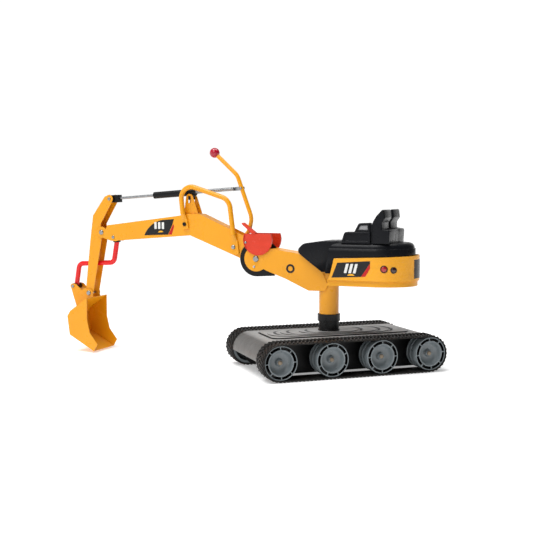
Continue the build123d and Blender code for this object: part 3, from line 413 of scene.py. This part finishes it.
def soften(bm, width, angle=30.0, segments=3, only=None):
    """Rounds the edges sharper than an angle."""
    bmesh.ops.remove_doubles(bm, verts=bm.verts, dist=1e-6)
    bmesh.ops.recalc_face_normals(bm, faces=bm.faces)
    sharp = [e for e in bm.edges if len(e.link_faces) == 2 and e.calc_face_angle(0) > radians(angle)
             and (only is None or only(e))]
    bmesh.ops.bevel(bm, geom=sharp, offset=width, offset_type="OFFSET", segments=segments, profile=0.5,
                    affect="EDGES", clamp_overlap=True)
    return bm


def lathe(profile, steps=64, bm=None, start=0.0):
    """A (radius, y) profile turned about the Y axis."""
    bm = bm or bmesh.new()
    rings = []
    for step in range(steps):
        angle = start + tau * step / steps
        rings.append([bm.verts.new((r * cos(angle), y, r * sin(angle))) for r, y in profile])
    for step in range(steps):
        here, there = rings[step], rings[(step + 1) % steps]
        for k in range(len(profile) - 1):
            bm.faces.new((here[k], here[k + 1], there[k + 1], there[k]))
    bmesh.ops.remove_doubles(bm, verts=bm.verts, dist=1e-6)
    return bm


# ---- tracks and rollers ---------------------------------------------------------------------
TRACK_INSIDE = 0.1245
TRACK_OUTSIDE = 0.1965
BELT_RADIUS = 0.0572
BELT_THICK = 0.0027
BELT_STATIONS = 216
CLEAT_HEIGHT = 0.0040
CLEAT_ROWS = 108
CLEAT_SLANT = 0.95
RIB_COUNT = 54


def round_belt(travel, radius):
    """Point and outward direction at a distance along the belt, in the base's own frame."""
    straight = FRONT_AXLE.x - REAR_AXLE.x
    turn = pi * radius
    travel = travel % (2 * (straight + turn))
    if travel < straight:
        return Vector((REAR_AXLE.x + travel, 0, FRONT_AXLE.z + radius)), Vector((0, 0, 1))
    travel -= straight
    if travel < turn:
        away = Vector((sin(travel / radius), 0, cos(travel / radius)))
        return Vector((FRONT_AXLE.x, 0, FRONT_AXLE.z)) + away * radius, away
    travel -= turn
    if travel < straight:
        return Vector((FRONT_AXLE.x - travel, 0, FRONT_AXLE.z - radius)), Vector((0, 0, -1))
    angle = (travel - straight) / radius
    away = Vector((-sin(angle), 0, -cos(angle)))
    return Vector((REAR_AXLE.x, 0, FRONT_AXLE.z)) + away * radius, away


def track(side, name):
    """A rubber belt: band with raised edges, two rows of slanted cleats, and shallow inner ribs."""
    bm = bmesh.new()
    length = 2 * (FRONT_AXLE.x - REAR_AXLE.x) + tau * BELT_RADIUS
    low, high = sorted((side * TRACK_INSIDE, side * TRACK_OUTSIDE))
    band = [(low, 0.0), (low + 0.0012, 0.0010), (low + 0.005, 0.0010), (low + 0.006, 0.0),
            (high - 0.006, 0.0), (high - 0.005, 0.0010), (high - 0.0012, 0.0010), (high, 0.0),
            (high, -BELT_THICK), (low, -BELT_THICK)]
    rings = []
    for step in range(BELT_STATIONS):
        point, away = round_belt(length * step / BELT_STATIONS, BELT_RADIUS)
        rings.append([bm.verts.new(point + away * lift + Vector((0, y, 0))) for y, lift in band])
    for step in range(BELT_STATIONS):
        here, there = rings[step], rings[(step + 1) % BELT_STATIONS]
        for k in range(len(band)):
            after = (k + 1) % len(band)
            bm.faces.new((here[k], here[after], there[after], there[k]))
    middle = (low + high) / 2
    pitch = length / CLEAT_ROWS
    for row, (inner, outer) in enumerate(((low + 0.0025, middle - 0.001), (middle + 0.001, high - 0.0025))):
        slant = pitch * (CLEAT_SLANT if row else -CLEAT_SLANT)
        for index in range(CLEAT_ROWS):
            width = pitch * (0.50 if index % 2 else 0.42)
            cleat(bm, (index + 0.5 * row) * pitch, inner, outer, slant, width)
    for index in range(RIB_COUNT):
        point, away = round_belt(length * index / RIB_COUNT, BELT_RADIUS - BELT_THICK)
        rib(bm, point, away, middle)
    bm.transform(BASE_TURN)
    return piece(bm, name, "base", [MATERIALS["track_rubber"]], replaces=[name],
                 crease=30)


def cleat(bm, start, inner, outer, slant, width):
    """A slanted bar across half of the belt, narrower at its top."""
    feet, tops = [], []
    for y, shift in ((inner, -slant / 2), (outer, slant / 2)):
        for along in (-width / 2, width / 2):
            foot, away = round_belt(start + shift + along, BELT_RADIUS)
            feet.append(bm.verts.new(foot + Vector((0, y, 0)) - away * 0.0003))
            top, away = round_belt(start + shift + along * 0.62, BELT_RADIUS)
            taper = 0.0009 if y == inner else -0.0009
            tops.append(bm.verts.new(top + Vector((0, y + taper, 0)) + away * CLEAT_HEIGHT))
    order = (0, 1, 3, 2)
    bm.faces.new([tops[k] for k in order])
    bm.faces.new([feet[k] for k in reversed(order)])
    for k in range(4):
        a, b = order[k], order[(k + 1) % 4]
        bm.faces.new((feet[a], feet[b], tops[b], tops[a]))


def rib(bm, point, away, middle):
    """A shallow rib across the inner face of the belt."""
    along = Vector((away.z, 0, -away.x))
    verts = []
    for lift in (0.0004, -0.0001):
        for y in (-0.024, 0.024):
            for shift in (-0.003, 0.003):
                verts.append(bm.verts.new(point + away * lift + along * shift + Vector((0, middle + y, 0))))
    for quad in ((0, 1, 3, 2), (4, 6, 7, 5), (0, 4, 5, 1), (2, 3, 7, 6), (0, 2, 6, 4), (1, 5, 7, 3)):
        bm.faces.new([verts[k] for k in quad])


ROLLER_WIDTH = 0.066
ROLLER_FACE = 0.193
SPOKES = 8
CLOCKING = (2.0, 22.5, 0.0, 5.0)


def roller_mesh():
    """A roller: ribbed drum, outer ring with eight short spokes over a gap whose walls and floor are painted black
    as shade, and a deep dish.
    """
    bm = lathe([(r / 1000, y / 1000) for r, y in (
        (5.08, 4), (10, 4), (10, 39), (30, 39), (39.5, 37), (46, 37), (46, 0), (53.2, 0), (54, 0.8),
        (54, 3.4), (53.3, 4), (50.6, 4.2), (50.0, 5), (50.0, 20.4), (50.6, 21), (53.3, 21.2), (54, 22),
        (54, 24.2), (53.3, 25), (50.6, 25.2), (50, 26), (50, 43.4), (50.6, 44), (53.3, 44.1), (54, 45),
        (54, 64.9), (53.6, 65.7), (52.8, 66), (51.6, 66), (51.0, 65.7), (50.7, 65), (50.4, 40),
        (41.8, 40), (42.1, 65), (41.8, 65.7), (41.1, 66), (39.2, 66), (38.4, 65.4), (37.8, 63.6),
        (36.8, 57.0), (35.4, 52.0), (32.6, 47.5), (28.0, 44.6), (20.0, 43.4), (13.4, 43.6), (11.9, 45.0),
        (11.2, 47.0), (9.8, 54.4), (8.9, 55.2), (6.0, 55.2), (5.08, 54.6), (5.08, 4))], steps=72)
    # Painted shade: faces in the gap between the outer ring and the dish take the black material.
    for face in bm.faces:
        centre = face.calc_center_median()
        away = (centre.x ** 2 + centre.z ** 2) ** 0.5
        face.material_index = int(0.0416 < away < 0.0509 and 0.039 < centre.y < 0.0652)
    for index in range(SPOKES):
        spoke = bmesh.new()
        bmesh.ops.create_cube(spoke, size=1.0)
        bmesh.ops.scale(spoke, vec=(0.0098, 0.0050, 0.0026), verts=spoke.verts)
        soften(spoke, 0.0004, segments=2)
        bmesh.ops.translate(spoke, vec=(0.0464, 0.0633, 0), verts=spoke.verts)
        turned = Matrix.Rotation(tau * index / SPOKES, 3, "Y")
        bmesh.ops.rotate(spoke, cent=(0, 0, 0), matrix=turned, verts=spoke.verts)
        join(bm, spoke, 0)
    return bm


def join(bm, other, material_index):
    """Adds another bmesh's faces with one material index."""
    lookup = {v: bm.verts.new(v.co) for v in other.verts}
    for face in other.faces:
        made = bm.faces.new([lookup[v] for v in face.verts])
        made.material_index = material_index
    other.free()


def rollers():
    """Eight rollers on the wheel bodies, each stopped at its own angle."""
    for side, sign in (("left", 1), ("right", -1)):
        for index in range(1, 5):
            name = f"wheel_{side}_{index}"
            inner = BASE_TURN.inverted() @ Vector(JOINTS[f"roll_{side}_{index}"]["pos_m"])
            inner.y = sign * (ROLLER_FACE - ROLLER_WIDTH)
            facing = Matrix.Rotation(0 if sign > 0 else pi, 4, "Z")
            clocking = Matrix.Rotation(radians(CLOCKING[index - 1]), 4, "Y")
            bm = roller_mesh()
            bm.transform(BASE_TURN @ Matrix.Translation(inner) @ facing @ clocking)
            piece(bm, f"roller_{side}_{index}", name,
                  [MATERIALS["roller_plastic"], MATERIALS["socket_plastic"]],
                  replaces=[name], crease=30)


# ---- seat -----------------------------------------------------------------------------------
TURN_X = -0.178
SEAT_REAR = 0.111
SEAT_HALF = 0.104
SEAT_FRONT = -0.020
SEAT_WALL = 0.0035
SEAT_LEVEL = 0.4225


def seat_shell():
    """Broad rear of the seat with a mould line and rolled top, and the narrow saddle before it."""
    columns = []
    for step in range(13):
        columns.append((SEAT_FRONT, -SEAT_HALF + 2 * SEAT_HALF * step / 12, 1.0))
    for step in range(1, 13):
        columns.append((SEAT_FRONT + (TURN_X - SEAT_FRONT) * step / 12, SEAT_HALF, 0.0))
    for step in range(1, 33):
        angle = pi / 2 + pi * step / 32
        columns.append((TURN_X + SEAT_REAR * cos(angle), SEAT_HALF * sin(angle), 0.0))
    for step in range(1, 12):
        columns.append((TURN_X + (SEAT_FRONT - TURN_X) * step / 12, -SEAT_HALF, 0.0))
    rows = [(0.0, 0.0, None), (0.0, 0.0095, 0.385), (0.0, 0.0120, 0.4050), (0.0008, 0.0128, 0.4058),
            (0.0026, 0.0146, 0.4062), (0.0030, 0.0150, 0.4080)]
    for step in range(1, 9):
        angle = pi / 2 * step / 8
        inward = 1 - cos(angle)
        rows.append((0.0030 + 0.0170 * inward, 0.0150 + 0.034 * inward, 0.4075 + 0.0165 * sin(angle)))
    bm = bmesh.new()
    rings = []
    for side_in, front_in, level in rows:
        ring = []
        for x, y, front in columns:
            if level is None:
                height = 0.3252 if x > -0.050 else 0.3752
            else:
                height = level
            shrink = 1 - side_in / SEAT_HALF
            px, py = x, y * shrink
            if front > 0.5:
                px = x - front_in
            elif x < TURN_X:
                px = TURN_X + (x - TURN_X) * (1 - side_in / SEAT_REAR)
            else:
                px = min(x, SEAT_FRONT - front_in)
            ring.append(bm.verts.new((px, py, height)))
        rings.append(ring)
    for here, there in zip(rings, rings[1:]):
        for k in range(len(columns)):
            after = (k + 1) % len(columns)
            bm.faces.new((here[k], here[after], there[after], there[k]))
    bm.faces.new(rings[-1])
    bmesh.ops.remove_doubles(bm, verts=bm.verts, dist=1e-5)
    shell = piece(bm, "seat_base_shell", "upper", [MATERIALS["seat_plastic"]], crease=50)
    hollow(shell, SEAT_WALL)
    outline = corners((0.093, 0.3845, 0.004), (0.0955, 0.397, 0.012), (0.078, 0.4165, 0.035),
                      (0.010, 0.4265, 0.10), (-0.052, 0.4282, 0.0), (-0.074, 0.4282, 0.0),
                      (-0.074, 0.326, 0.0), (0.006, 0.3255, 0.006))
    bm = prism(outline, -0.060, 0.060)
    for vert in bm.verts:
        narrow = 0.76 + 0.24 * min(1.0, max(0.0, (0.097 - vert.co.x) / 0.14))
        belly = 1.0 + 0.10 * max(0.0, min(1.0, (0.40 - vert.co.z) / 0.08)) * (1 if vert.co.x < 0.02 else 0.4)
        vert.co.y *= narrow * belly
    soften(bm, 0.0115, angle=35, segments=5, only=lambda e: min(v.co.z for v in e.verts) > 0.383
           and abs(e.verts[0].co.y - e.verts[1].co.y) < 0.02)
    under = [f for f in bm.faces if f.normal.z < -0.3 or f.normal.x < -0.9]
    bmesh.ops.delete(bm, geom=under, context="FACES")
    saddle = piece(bm, "seat_saddle", "upper", [MATERIALS["seat_plastic"]], replaces=["seat_shell"],
                   crease=50)
    hollow(saddle, SEAT_WALL)


def hollow(made, wall):
    """Gives an open surface a wall, inwards, and applies it."""
    modifier = made.modifiers.new("wall", "SOLIDIFY")
    modifier.thickness = wall
    modifier.offset = -1.0
    bake_modifiers(made)


def bake_modifiers(made):
    """Applies an object's modifiers to its mesh."""
    graph = bpy.context.evaluated_depsgraph_get()
    result = bpy.data.meshes.new_from_object(made.evaluated_get(graph))
    old = made.data
    made.modifiers.clear()
    made.data = result
    bpy.data.meshes.remove(old)


def bolster(side, outline, inside, outside, name, border, deep, reflection_panel=False):
    """One step of the seat's side with rounded edges and a panel let into its outer face, which can take the pale
    grey window finish as a painted reflection.
    """
    low, high = sorted((side * inside, side * outside))
    bm = prism(corners(*outline), low, high)
    soften(bm, 0.0026, angle=40, segments=3)
    outer = max((f for f in bm.faces if f.normal.y * side > 0.99), key=lambda f: f.calc_area())
    bmesh.ops.inset_region(bm, faces=[outer], thickness=border, depth=0.0, use_even_offset=True)
    bmesh.ops.inset_region(bm, faces=[outer], thickness=0.0010, depth=-deep, use_even_offset=True)
    # Painted reflection: when asked, the panel in the outer face takes the pale grey window finish instead of
    # black.
    outer.material_index = int(reflection_panel)
    return piece(bm, name, "upper", [MATERIALS["seat_plastic"], MATERIALS["window_plastic"]])


def seat_back():
    """Stepped side bolsters and the two-lobed backrest."""
    low_step = ((-0.0705, SEAT_LEVEL, 0.0), (-0.083, 0.4595, 0.010), (-0.168, 0.4608, 0.0),
                (-0.168, SEAT_LEVEL, 0.0))
    high_step = ((-0.1135, 0.4585, 0.0), (-0.1290, 0.4875, 0.009), (-0.166, 0.4893, 0.0),
                 (-0.166, 0.4585, 0.0))
    link = ((-0.160, SEAT_LEVEL, 0.0), (-0.160, 0.4850, 0.004), (-0.184, 0.4860, 0.0),
            (-0.184, SEAT_LEVEL, 0.0))
    lobe = ((-0.176, SEAT_LEVEL, 0.0), (-0.176, 0.493, 0.006), (-0.187, 0.511, 0.008),
            (-0.2110, 0.5365, 0.005), (-0.2155, 0.504, 0.006), (-0.2055, 0.489, 0.008),
            (-0.2055, 0.470, 0.004), (-0.2305, 0.4665, 0.006), (-0.2285, SEAT_LEVEL, 0.0))
    for side, label in ((1, "left"), (-1, "right")):
        bolster(side, low_step, 0.072, 0.098, f"seat_step_low_{label}", 0.0048, 0.0020)
        # The higher step's panel is a painted reflection.
        bolster(side, high_step, 0.070, 0.0945, f"seat_step_high_{label}", 0.0048, 0.0030, reflection_panel=True)
        low, high = sorted((side * 0.066, side * 0.0895))
        piece(soften(prism(corners(*link), low, high), 0.0015), f"seat_link_{label}", "upper",
              [MATERIALS["seat_plastic"]])
        low, high = sorted((side * 0.0125, side * 0.098))
        bm = prism(corners(*lobe), low, high)
        soften(bm, 0.0050, angle=50, segments=4,
               only=lambda e: abs(e.verts[0].co.y - e.verts[1].co.y) < 0.001)
        piece(bm, f"seat_lobe_{label}", "upper", [MATERIALS["seat_plastic"]])
    spine = corners((-0.178, SEAT_LEVEL, 0), (-0.178, 0.493, 0), (-0.190, 0.5115, 0.004),
                    (-0.1985, 0.5115, 0.004), (-0.1985, 0.4700, 0.003), (-0.2305, 0.4665, 0.006),
                    (-0.2285, SEAT_LEVEL, 0))
    bm = prism(spine, -0.0200, 0.0200)
    piece(bm, "seat_spine", "upper", [MATERIALS["seat_plastic"]], replaces=["seat_back", "seat_windows"])


# ---- lamps and plain graphics ---------------------------------------------------------------
LAMP_SPOTS = {"lamps_red": (-0.216, 0.344, 0.0118), "lamps_dark": (-0.244, 0.341, 0.0105)}
FAIRING_HALF = 0.110
FAIRING_REACH = 0.125


def lamps():
    """Domed lenses in black bezels on the fairing's rounded rear corners."""
    bezel = [(0.0, -0.004), (1.0, -0.004), (1.0, 0.0008), (0.96, 0.0014), (0.86, 0.0016), (0.80, 0.0010),
             (0.78, -0.0002)]
    dome = [(0.78, -0.0002), (0.76, 0.0004), (0.62, 0.0014), (0.40, 0.0022), (0.20, 0.0026), (0.0001, 0.0027)]
    for node, (x, z, radius) in LAMP_SPOTS.items():
        along = (x - TURN_X) / FAIRING_REACH
        y = FAIRING_HALF * (1 - along ** 2) ** 0.5
        turn = atan2(along / FAIRING_REACH, y / FAIRING_HALF ** 2)
        for side, label in ((1, "left"), (-1, "right")):
            bm = lathe([(r * radius, h) for r, h in bezel], steps=48)
            for face in bm.faces:
                face.material_index = 1
            join(bm, lathe([(r * radius, h) for r, h in dome], steps=48), 0)
            facing = Matrix.Rotation(-turn, 4, "Z")
            bm.transform(Matrix.Translation((x, y, z)) @ facing)
            if side < 0:
                bm.transform(Matrix.Scale(-1, 4, (0, 1, 0)))
            piece(bm, f"{node}_{label}", "upper", [MATERIALS[slot_of(node)], MATERIALS["trim_black"]],
                  replaces=[node] if side > 0 else (), crease=40)


TREAD_OVALS = ((0.430, 0.136, 0.0036), (0.340, 0.116, 0.0018), (0.210, 0.092, 0.0))
CRESCENT_HALF_TURN = 74
CRESCENT_STEPS = 24
CRESCENT_DEEP = 0.0105


def tread_crescent_shadows():
    """Painted shadow: black crescent sheets just inside both ends of each oval tread, where its steps cast shade
    (length, width, depth below the top).
    """
    deck_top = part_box("deck_cover")[1][2]
    sweep = [-CRESCENT_HALF_TURN + 2 * CRESCENT_HALF_TURN * step / CRESCENT_STEPS
             for step in range(CRESCENT_STEPS + 1)]
    arc = [radians(angle) for angle in sweep]
    for index, (length, width, sunk) in enumerate(TREAD_OVALS):
        radius = width / 2 - 0.002
        top = deck_top - sunk + 0.00012
        for end, label in ((1, "front"), (-1, "rear")):
            hub = DECK_CENTRE + end * (length - width) / 2
            outer = [(hub + end * radius * cos(a), radius * sin(a)) for a in arc]
            inner = []
            for a in arc[-2:0:-1]:
                thick = CRESCENT_DEEP * cos(a * 90 / CRESCENT_HALF_TURN) ** 0.8
                inner.append((hub + end * (radius * cos(a) - thick), radius * sin(a)))
            bm = bmesh.new()
            upper = [bm.verts.new((x, y, top)) for x, y in outer + inner]
            lower = [bm.verts.new((x, y, top - 0.0006)) for x, y in outer + inner]
            bm.faces.new(upper)
            bm.faces.new(lower[::-1])
            for k in range(len(upper)):
                after = (k + 1) % len(upper)
                bm.faces.new((upper[k], lower[k], lower[after], upper[after]))
            bm.transform(BASE_TURN)
            # Each crescent is a thin black sheet that stands for shade, not a part.
            piece(bm, f"deck_crescent_shadow_{index + 1}_{label}", "base", [MATERIALS["frame_plastic"]],
                  smooth=False)


def slot_of(node):
    """The finish that the record gives a CAD node."""
    return next(entry["material_slot"] for entry in frame["record"]["subparts"] if entry["node"] == node)


def graphic(name, body, outline, face, material):
    """A thin plain film shape on both sides of the machine."""
    for side, label in ((1, "left"), (-1, "right")):
        low, high = sorted((side * face, side * (face + 0.0004)))
        bm = prism(outline, low, high)
        piece(bm, f"{name}_{label}", body, [material], smooth=False)


BAR_COUNT = 3
BAR_PITCH = 0.0150
BAR_ROUND = 0.0008
WEDGE_ROUND = 0.0006
FAIRING_FILM = 0.1107
BOOM_FILM = 0.0257
RING_PLACE = (0.1245, 0.0361, 0.331)


def plain_mark(name, body, face, first, bar, wedge):
    """Three slanted pale bars, given as (shift, z) from the first one's x, over a yellow wedge."""
    for index in range(BAR_COUNT):
        start = first - BAR_PITCH * index
        outline = corners(*[(start + shift, z, BAR_ROUND) for shift, z in bar], steps=2)
        graphic(f"{name}_bar_{index + 1}", body, outline, face, WHITE_FILM)
    outline = corners(*[(x, z, WEDGE_ROUND) for x, z in wedge], steps=2)
    graphic(f"{name}_wedge", body, outline, face, YELLOW_FILM)


def graphics():
    """A plain mark on each dark panel, and a ring on the arm."""
    plain_mark("fairing", "upper", FAIRING_FILM, -0.0860,
               ((0.0, 0.3290), (-0.0075, 0.3585), (-0.0165, 0.3592), (-0.0090, 0.3290)),
               ((-0.0960, 0.3212), (-0.1040, 0.3262), (-0.1150, 0.3268), (-0.1230, 0.3212)))
    plain_mark("boom", "boom", BOOM_FILM, 0.6480,
               ((0.0, 0.4560), (0.0005, 0.4800), (-0.0085, 0.4812), (-0.0090, 0.4572)),
               ((0.6350, 0.4440), (0.6270, 0.4500), (0.6180, 0.4505), (0.6120, 0.4455)))
    ring_x, ring_y, ring_z = RING_PLACE
    for side, label in ((1, "left"), (-1, "right")):
        bm = lathe([(0.0086, 0.0), (0.0086, 0.0009), (0.0148, 0.0009), (0.0148, 0.0), (0.0086, 0.0)], steps=48)
        placed = Matrix.Translation((ring_x, side * ring_y, ring_z))
        bm.transform(placed @ Matrix.Scale(side, 4, (0, 1, 0)))
        piece(bm, f"arm_ring_{label}", "upper", [MATERIALS["trim_black"]])


# ---- bent link ------------------------------------------------------------------------------
def sweep_tube(path, radius, steps=24):
    """A closed round tube along (x, z) points on the middle plane."""
    bm = bmesh.new()
    rings = []
    for index, point in enumerate(path):
        before = path[max(index - 1, 0)]
        after = path[min(index + 1, len(path) - 1)]
        along = (after - before).normalized()
        ring = []
        for step in range(steps):
            angle = tau * step / steps
            away = radius * cos(angle)
            spot = (point.x - along.y * away, radius * sin(angle), point.y + along.x * away)
            ring.append(bm.verts.new(spot))
        rings.append(ring)
    for here, there in zip(rings, rings[1:]):
        for k in range(steps):
            after = (k + 1) % steps
            bm.faces.new((here[k], here[after], there[after], there[k]))
    bm.faces.new(rings[0])
    bm.faces.new(rings[-1][::-1])
    return bm


LINK_RADIUS = 0.0090
LINK_TOP = (0.821, 0.0, 0.424)
LINK_FOOT = (0.999, 0.0, 0.2375)


def bent_link():
    """The red bent tube from the boom to the bucket, with a black eye above and a barrel below."""
    path = corners((0.8205, 0.4075, 0.0), (0.834, 0.3295, 0.020), (0.985, 0.321, 0.020),
                   (0.9985, 0.241, 0.0), steps=9)
    piece(sweep_tube(path, LINK_RADIUS), "bent_link", "link", [MATERIALS["link_red"]], replaces=["link_arm"],
          crease=50)
    eye = lathe([(0.0104, -0.0104), (0.0110, -0.0110), (0.0142, -0.0110), (0.0150, -0.0102),
                 (0.0150, 0.0102), (0.0142, 0.0110), (0.0110, 0.0110), (0.0104, 0.0104),
                 (0.0104, -0.0104)], steps=48)
    eye.transform(Matrix.Translation(LINK_TOP))
    stem = soften(prism(corners((0.8110, 0.4115, 0.0), (0.8310, 0.4115, 0.0), (0.8300, 0.4045, 0.002),
                                (0.8105, 0.4045, 0.002)), -0.0104, 0.0104), 0.0008)
    join(eye, stem, 0)
    barrel = lathe([(0.0037, -0.0200), (0.0045, -0.0208), (0.0100, -0.0208), (0.0108, -0.0200),
                    (0.0108, -0.0110), (0.0101, -0.0104), (0.0101, 0.0104), (0.0108, 0.0110),
                    (0.0108, 0.0200), (0.0100, 0.0208), (0.0045, 0.0208), (0.0037, 0.0200),
                    (0.0037, -0.0200)], steps=48)
    barrel.transform(Matrix.Translation(LINK_FOOT))
    join(eye, barrel, 0)
    piece(eye, "link_bushes", "link", [MATERIALS["frame_plastic"]], replaces=["link_ends"])


track(1, "track_left")
track(-1, "track_right")
rollers()
seat_shell()
seat_back()
lamps()
graphics()
tread_crescent_shadows()
bent_link()


# ---- stage ----------------------------------------------------------------------------------
FLOOR_SIZE = 60
FLOOR_GLOW = 0.34
SUN_STRENGTH = 1.95
SUN_SPREAD = 30
SUN_WAY = (-0.22, -0.34, -1.0)
CAMERA_PLACE = (-0.9516, 2.8427, 0.5730)
CAMERA_TILT = 85.531
CAMERA_HEADING = -157.5
CAMERA_LENS = 60.79


def stage():
    """White sweep floor that glows a little, a large soft sun, and a surround bright at the horizon."""
    bpy.ops.mesh.primitive_plane_add(size=FLOOR_SIZE, location=(0, 0, -0.0004))
    floor = bpy.context.object
    floor.name = "floor"
    g = Graph("floor_white")
    g.set(color=g.blend(g.noise(3.0), rgb(0.90, 0.90, 0.90), rgb(0.92, 0.92, 0.92)), roughness=0.9,
          specular=0.0, glow=FLOOR_GLOW)
    g.shader.inputs["Emission Color"].default_value = rgb(1.0, 1.0, 1.0)
    floor.data.materials.append(g.material)
    world = bpy.data.worlds.new("studio")
    world.use_nodes = True
    tree = world.node_tree
    place = tree.nodes.new("ShaderNodeTexCoord")
    split = tree.nodes.new("ShaderNodeSeparateXYZ")
    ramp = tree.nodes.new("ShaderNodeMapRange")
    tree.links.new(place.outputs["Generated"], split.inputs[0])
    tree.links.new(split.outputs[2], ramp.inputs["Value"])
    for key, number in (("From Min", 0.22), ("From Max", 0.36), ("To Min", 1.02), ("To Max", 0.34)):
        ramp.inputs[key].default_value = number
    flag = tree.nodes.new("ShaderNodeMapRange")
    tree.links.new(split.outputs[0], flag.inputs["Value"])
    for key, number in (("From Min", -0.02), ("From Max", -0.50), ("To Min", 1.0), ("To Max", 0.12)):
        flag.inputs[key].default_value = number
    product = tree.nodes.new("ShaderNodeMath")
    product.operation = "MULTIPLY"
    tree.links.new(ramp.outputs["Result"], product.inputs[0])
    tree.links.new(flag.outputs["Result"], product.inputs[1])
    tree.links.new(product.outputs[0], tree.nodes["Background"].inputs["Strength"])
    tree.nodes["Background"].inputs["Color"].default_value = rgb(1.0, 1.0, 1.0)
    bpy.context.scene.world = world
    sun = bpy.data.lights.new("sun", "SUN")
    sun.energy = SUN_STRENGTH
    sun.angle = radians(SUN_SPREAD)
    lamp = bpy.data.objects.new("sun", sun)
    lamp.rotation_euler = Vector(SUN_WAY).to_track_quat("-Z", "Y").to_euler()
    bpy.context.scene.collection.objects.link(lamp)
    soft_light("key", (0.5, 2.0, 2.2), (0.1, 0.0, 0.3), 1.0, 16.0)
    soft_light("top", (-0.1, -0.3, 2.3), (0.1, 0.0, 0.2), 1.4, 18.0)


def soft_light(name, place, target, size, power):
    """A square area light aimed at a point."""
    light = bpy.data.lights.new(name, "AREA")
    light.shape = "SQUARE"
    light.size = size
    light.energy = power
    lamp = bpy.data.objects.new(name, light)
    lamp.location = place
    lamp.rotation_euler = (Vector(target) - Vector(place)).to_track_quat("-Z", "Y").to_euler()
    bpy.context.scene.collection.objects.link(lamp)


def camera():
    """The viewpoint: about three metres off on the machine's left, a little above the seat."""
    lens_data = bpy.data.cameras.new("camera")
    lens_data.sensor_width = 36.0
    lens_data.lens = CAMERA_LENS
    eye = bpy.data.objects.new("camera", lens_data)
    eye.location = CAMERA_PLACE
    eye.rotation_euler = (radians(CAMERA_TILT), 0.0, radians(CAMERA_HEADING))
    bpy.context.scene.collection.objects.link(eye)
    bpy.context.scene.camera = eye


stage()
camera()
bpy.context.scene.view_settings.view_transform = "Standard"
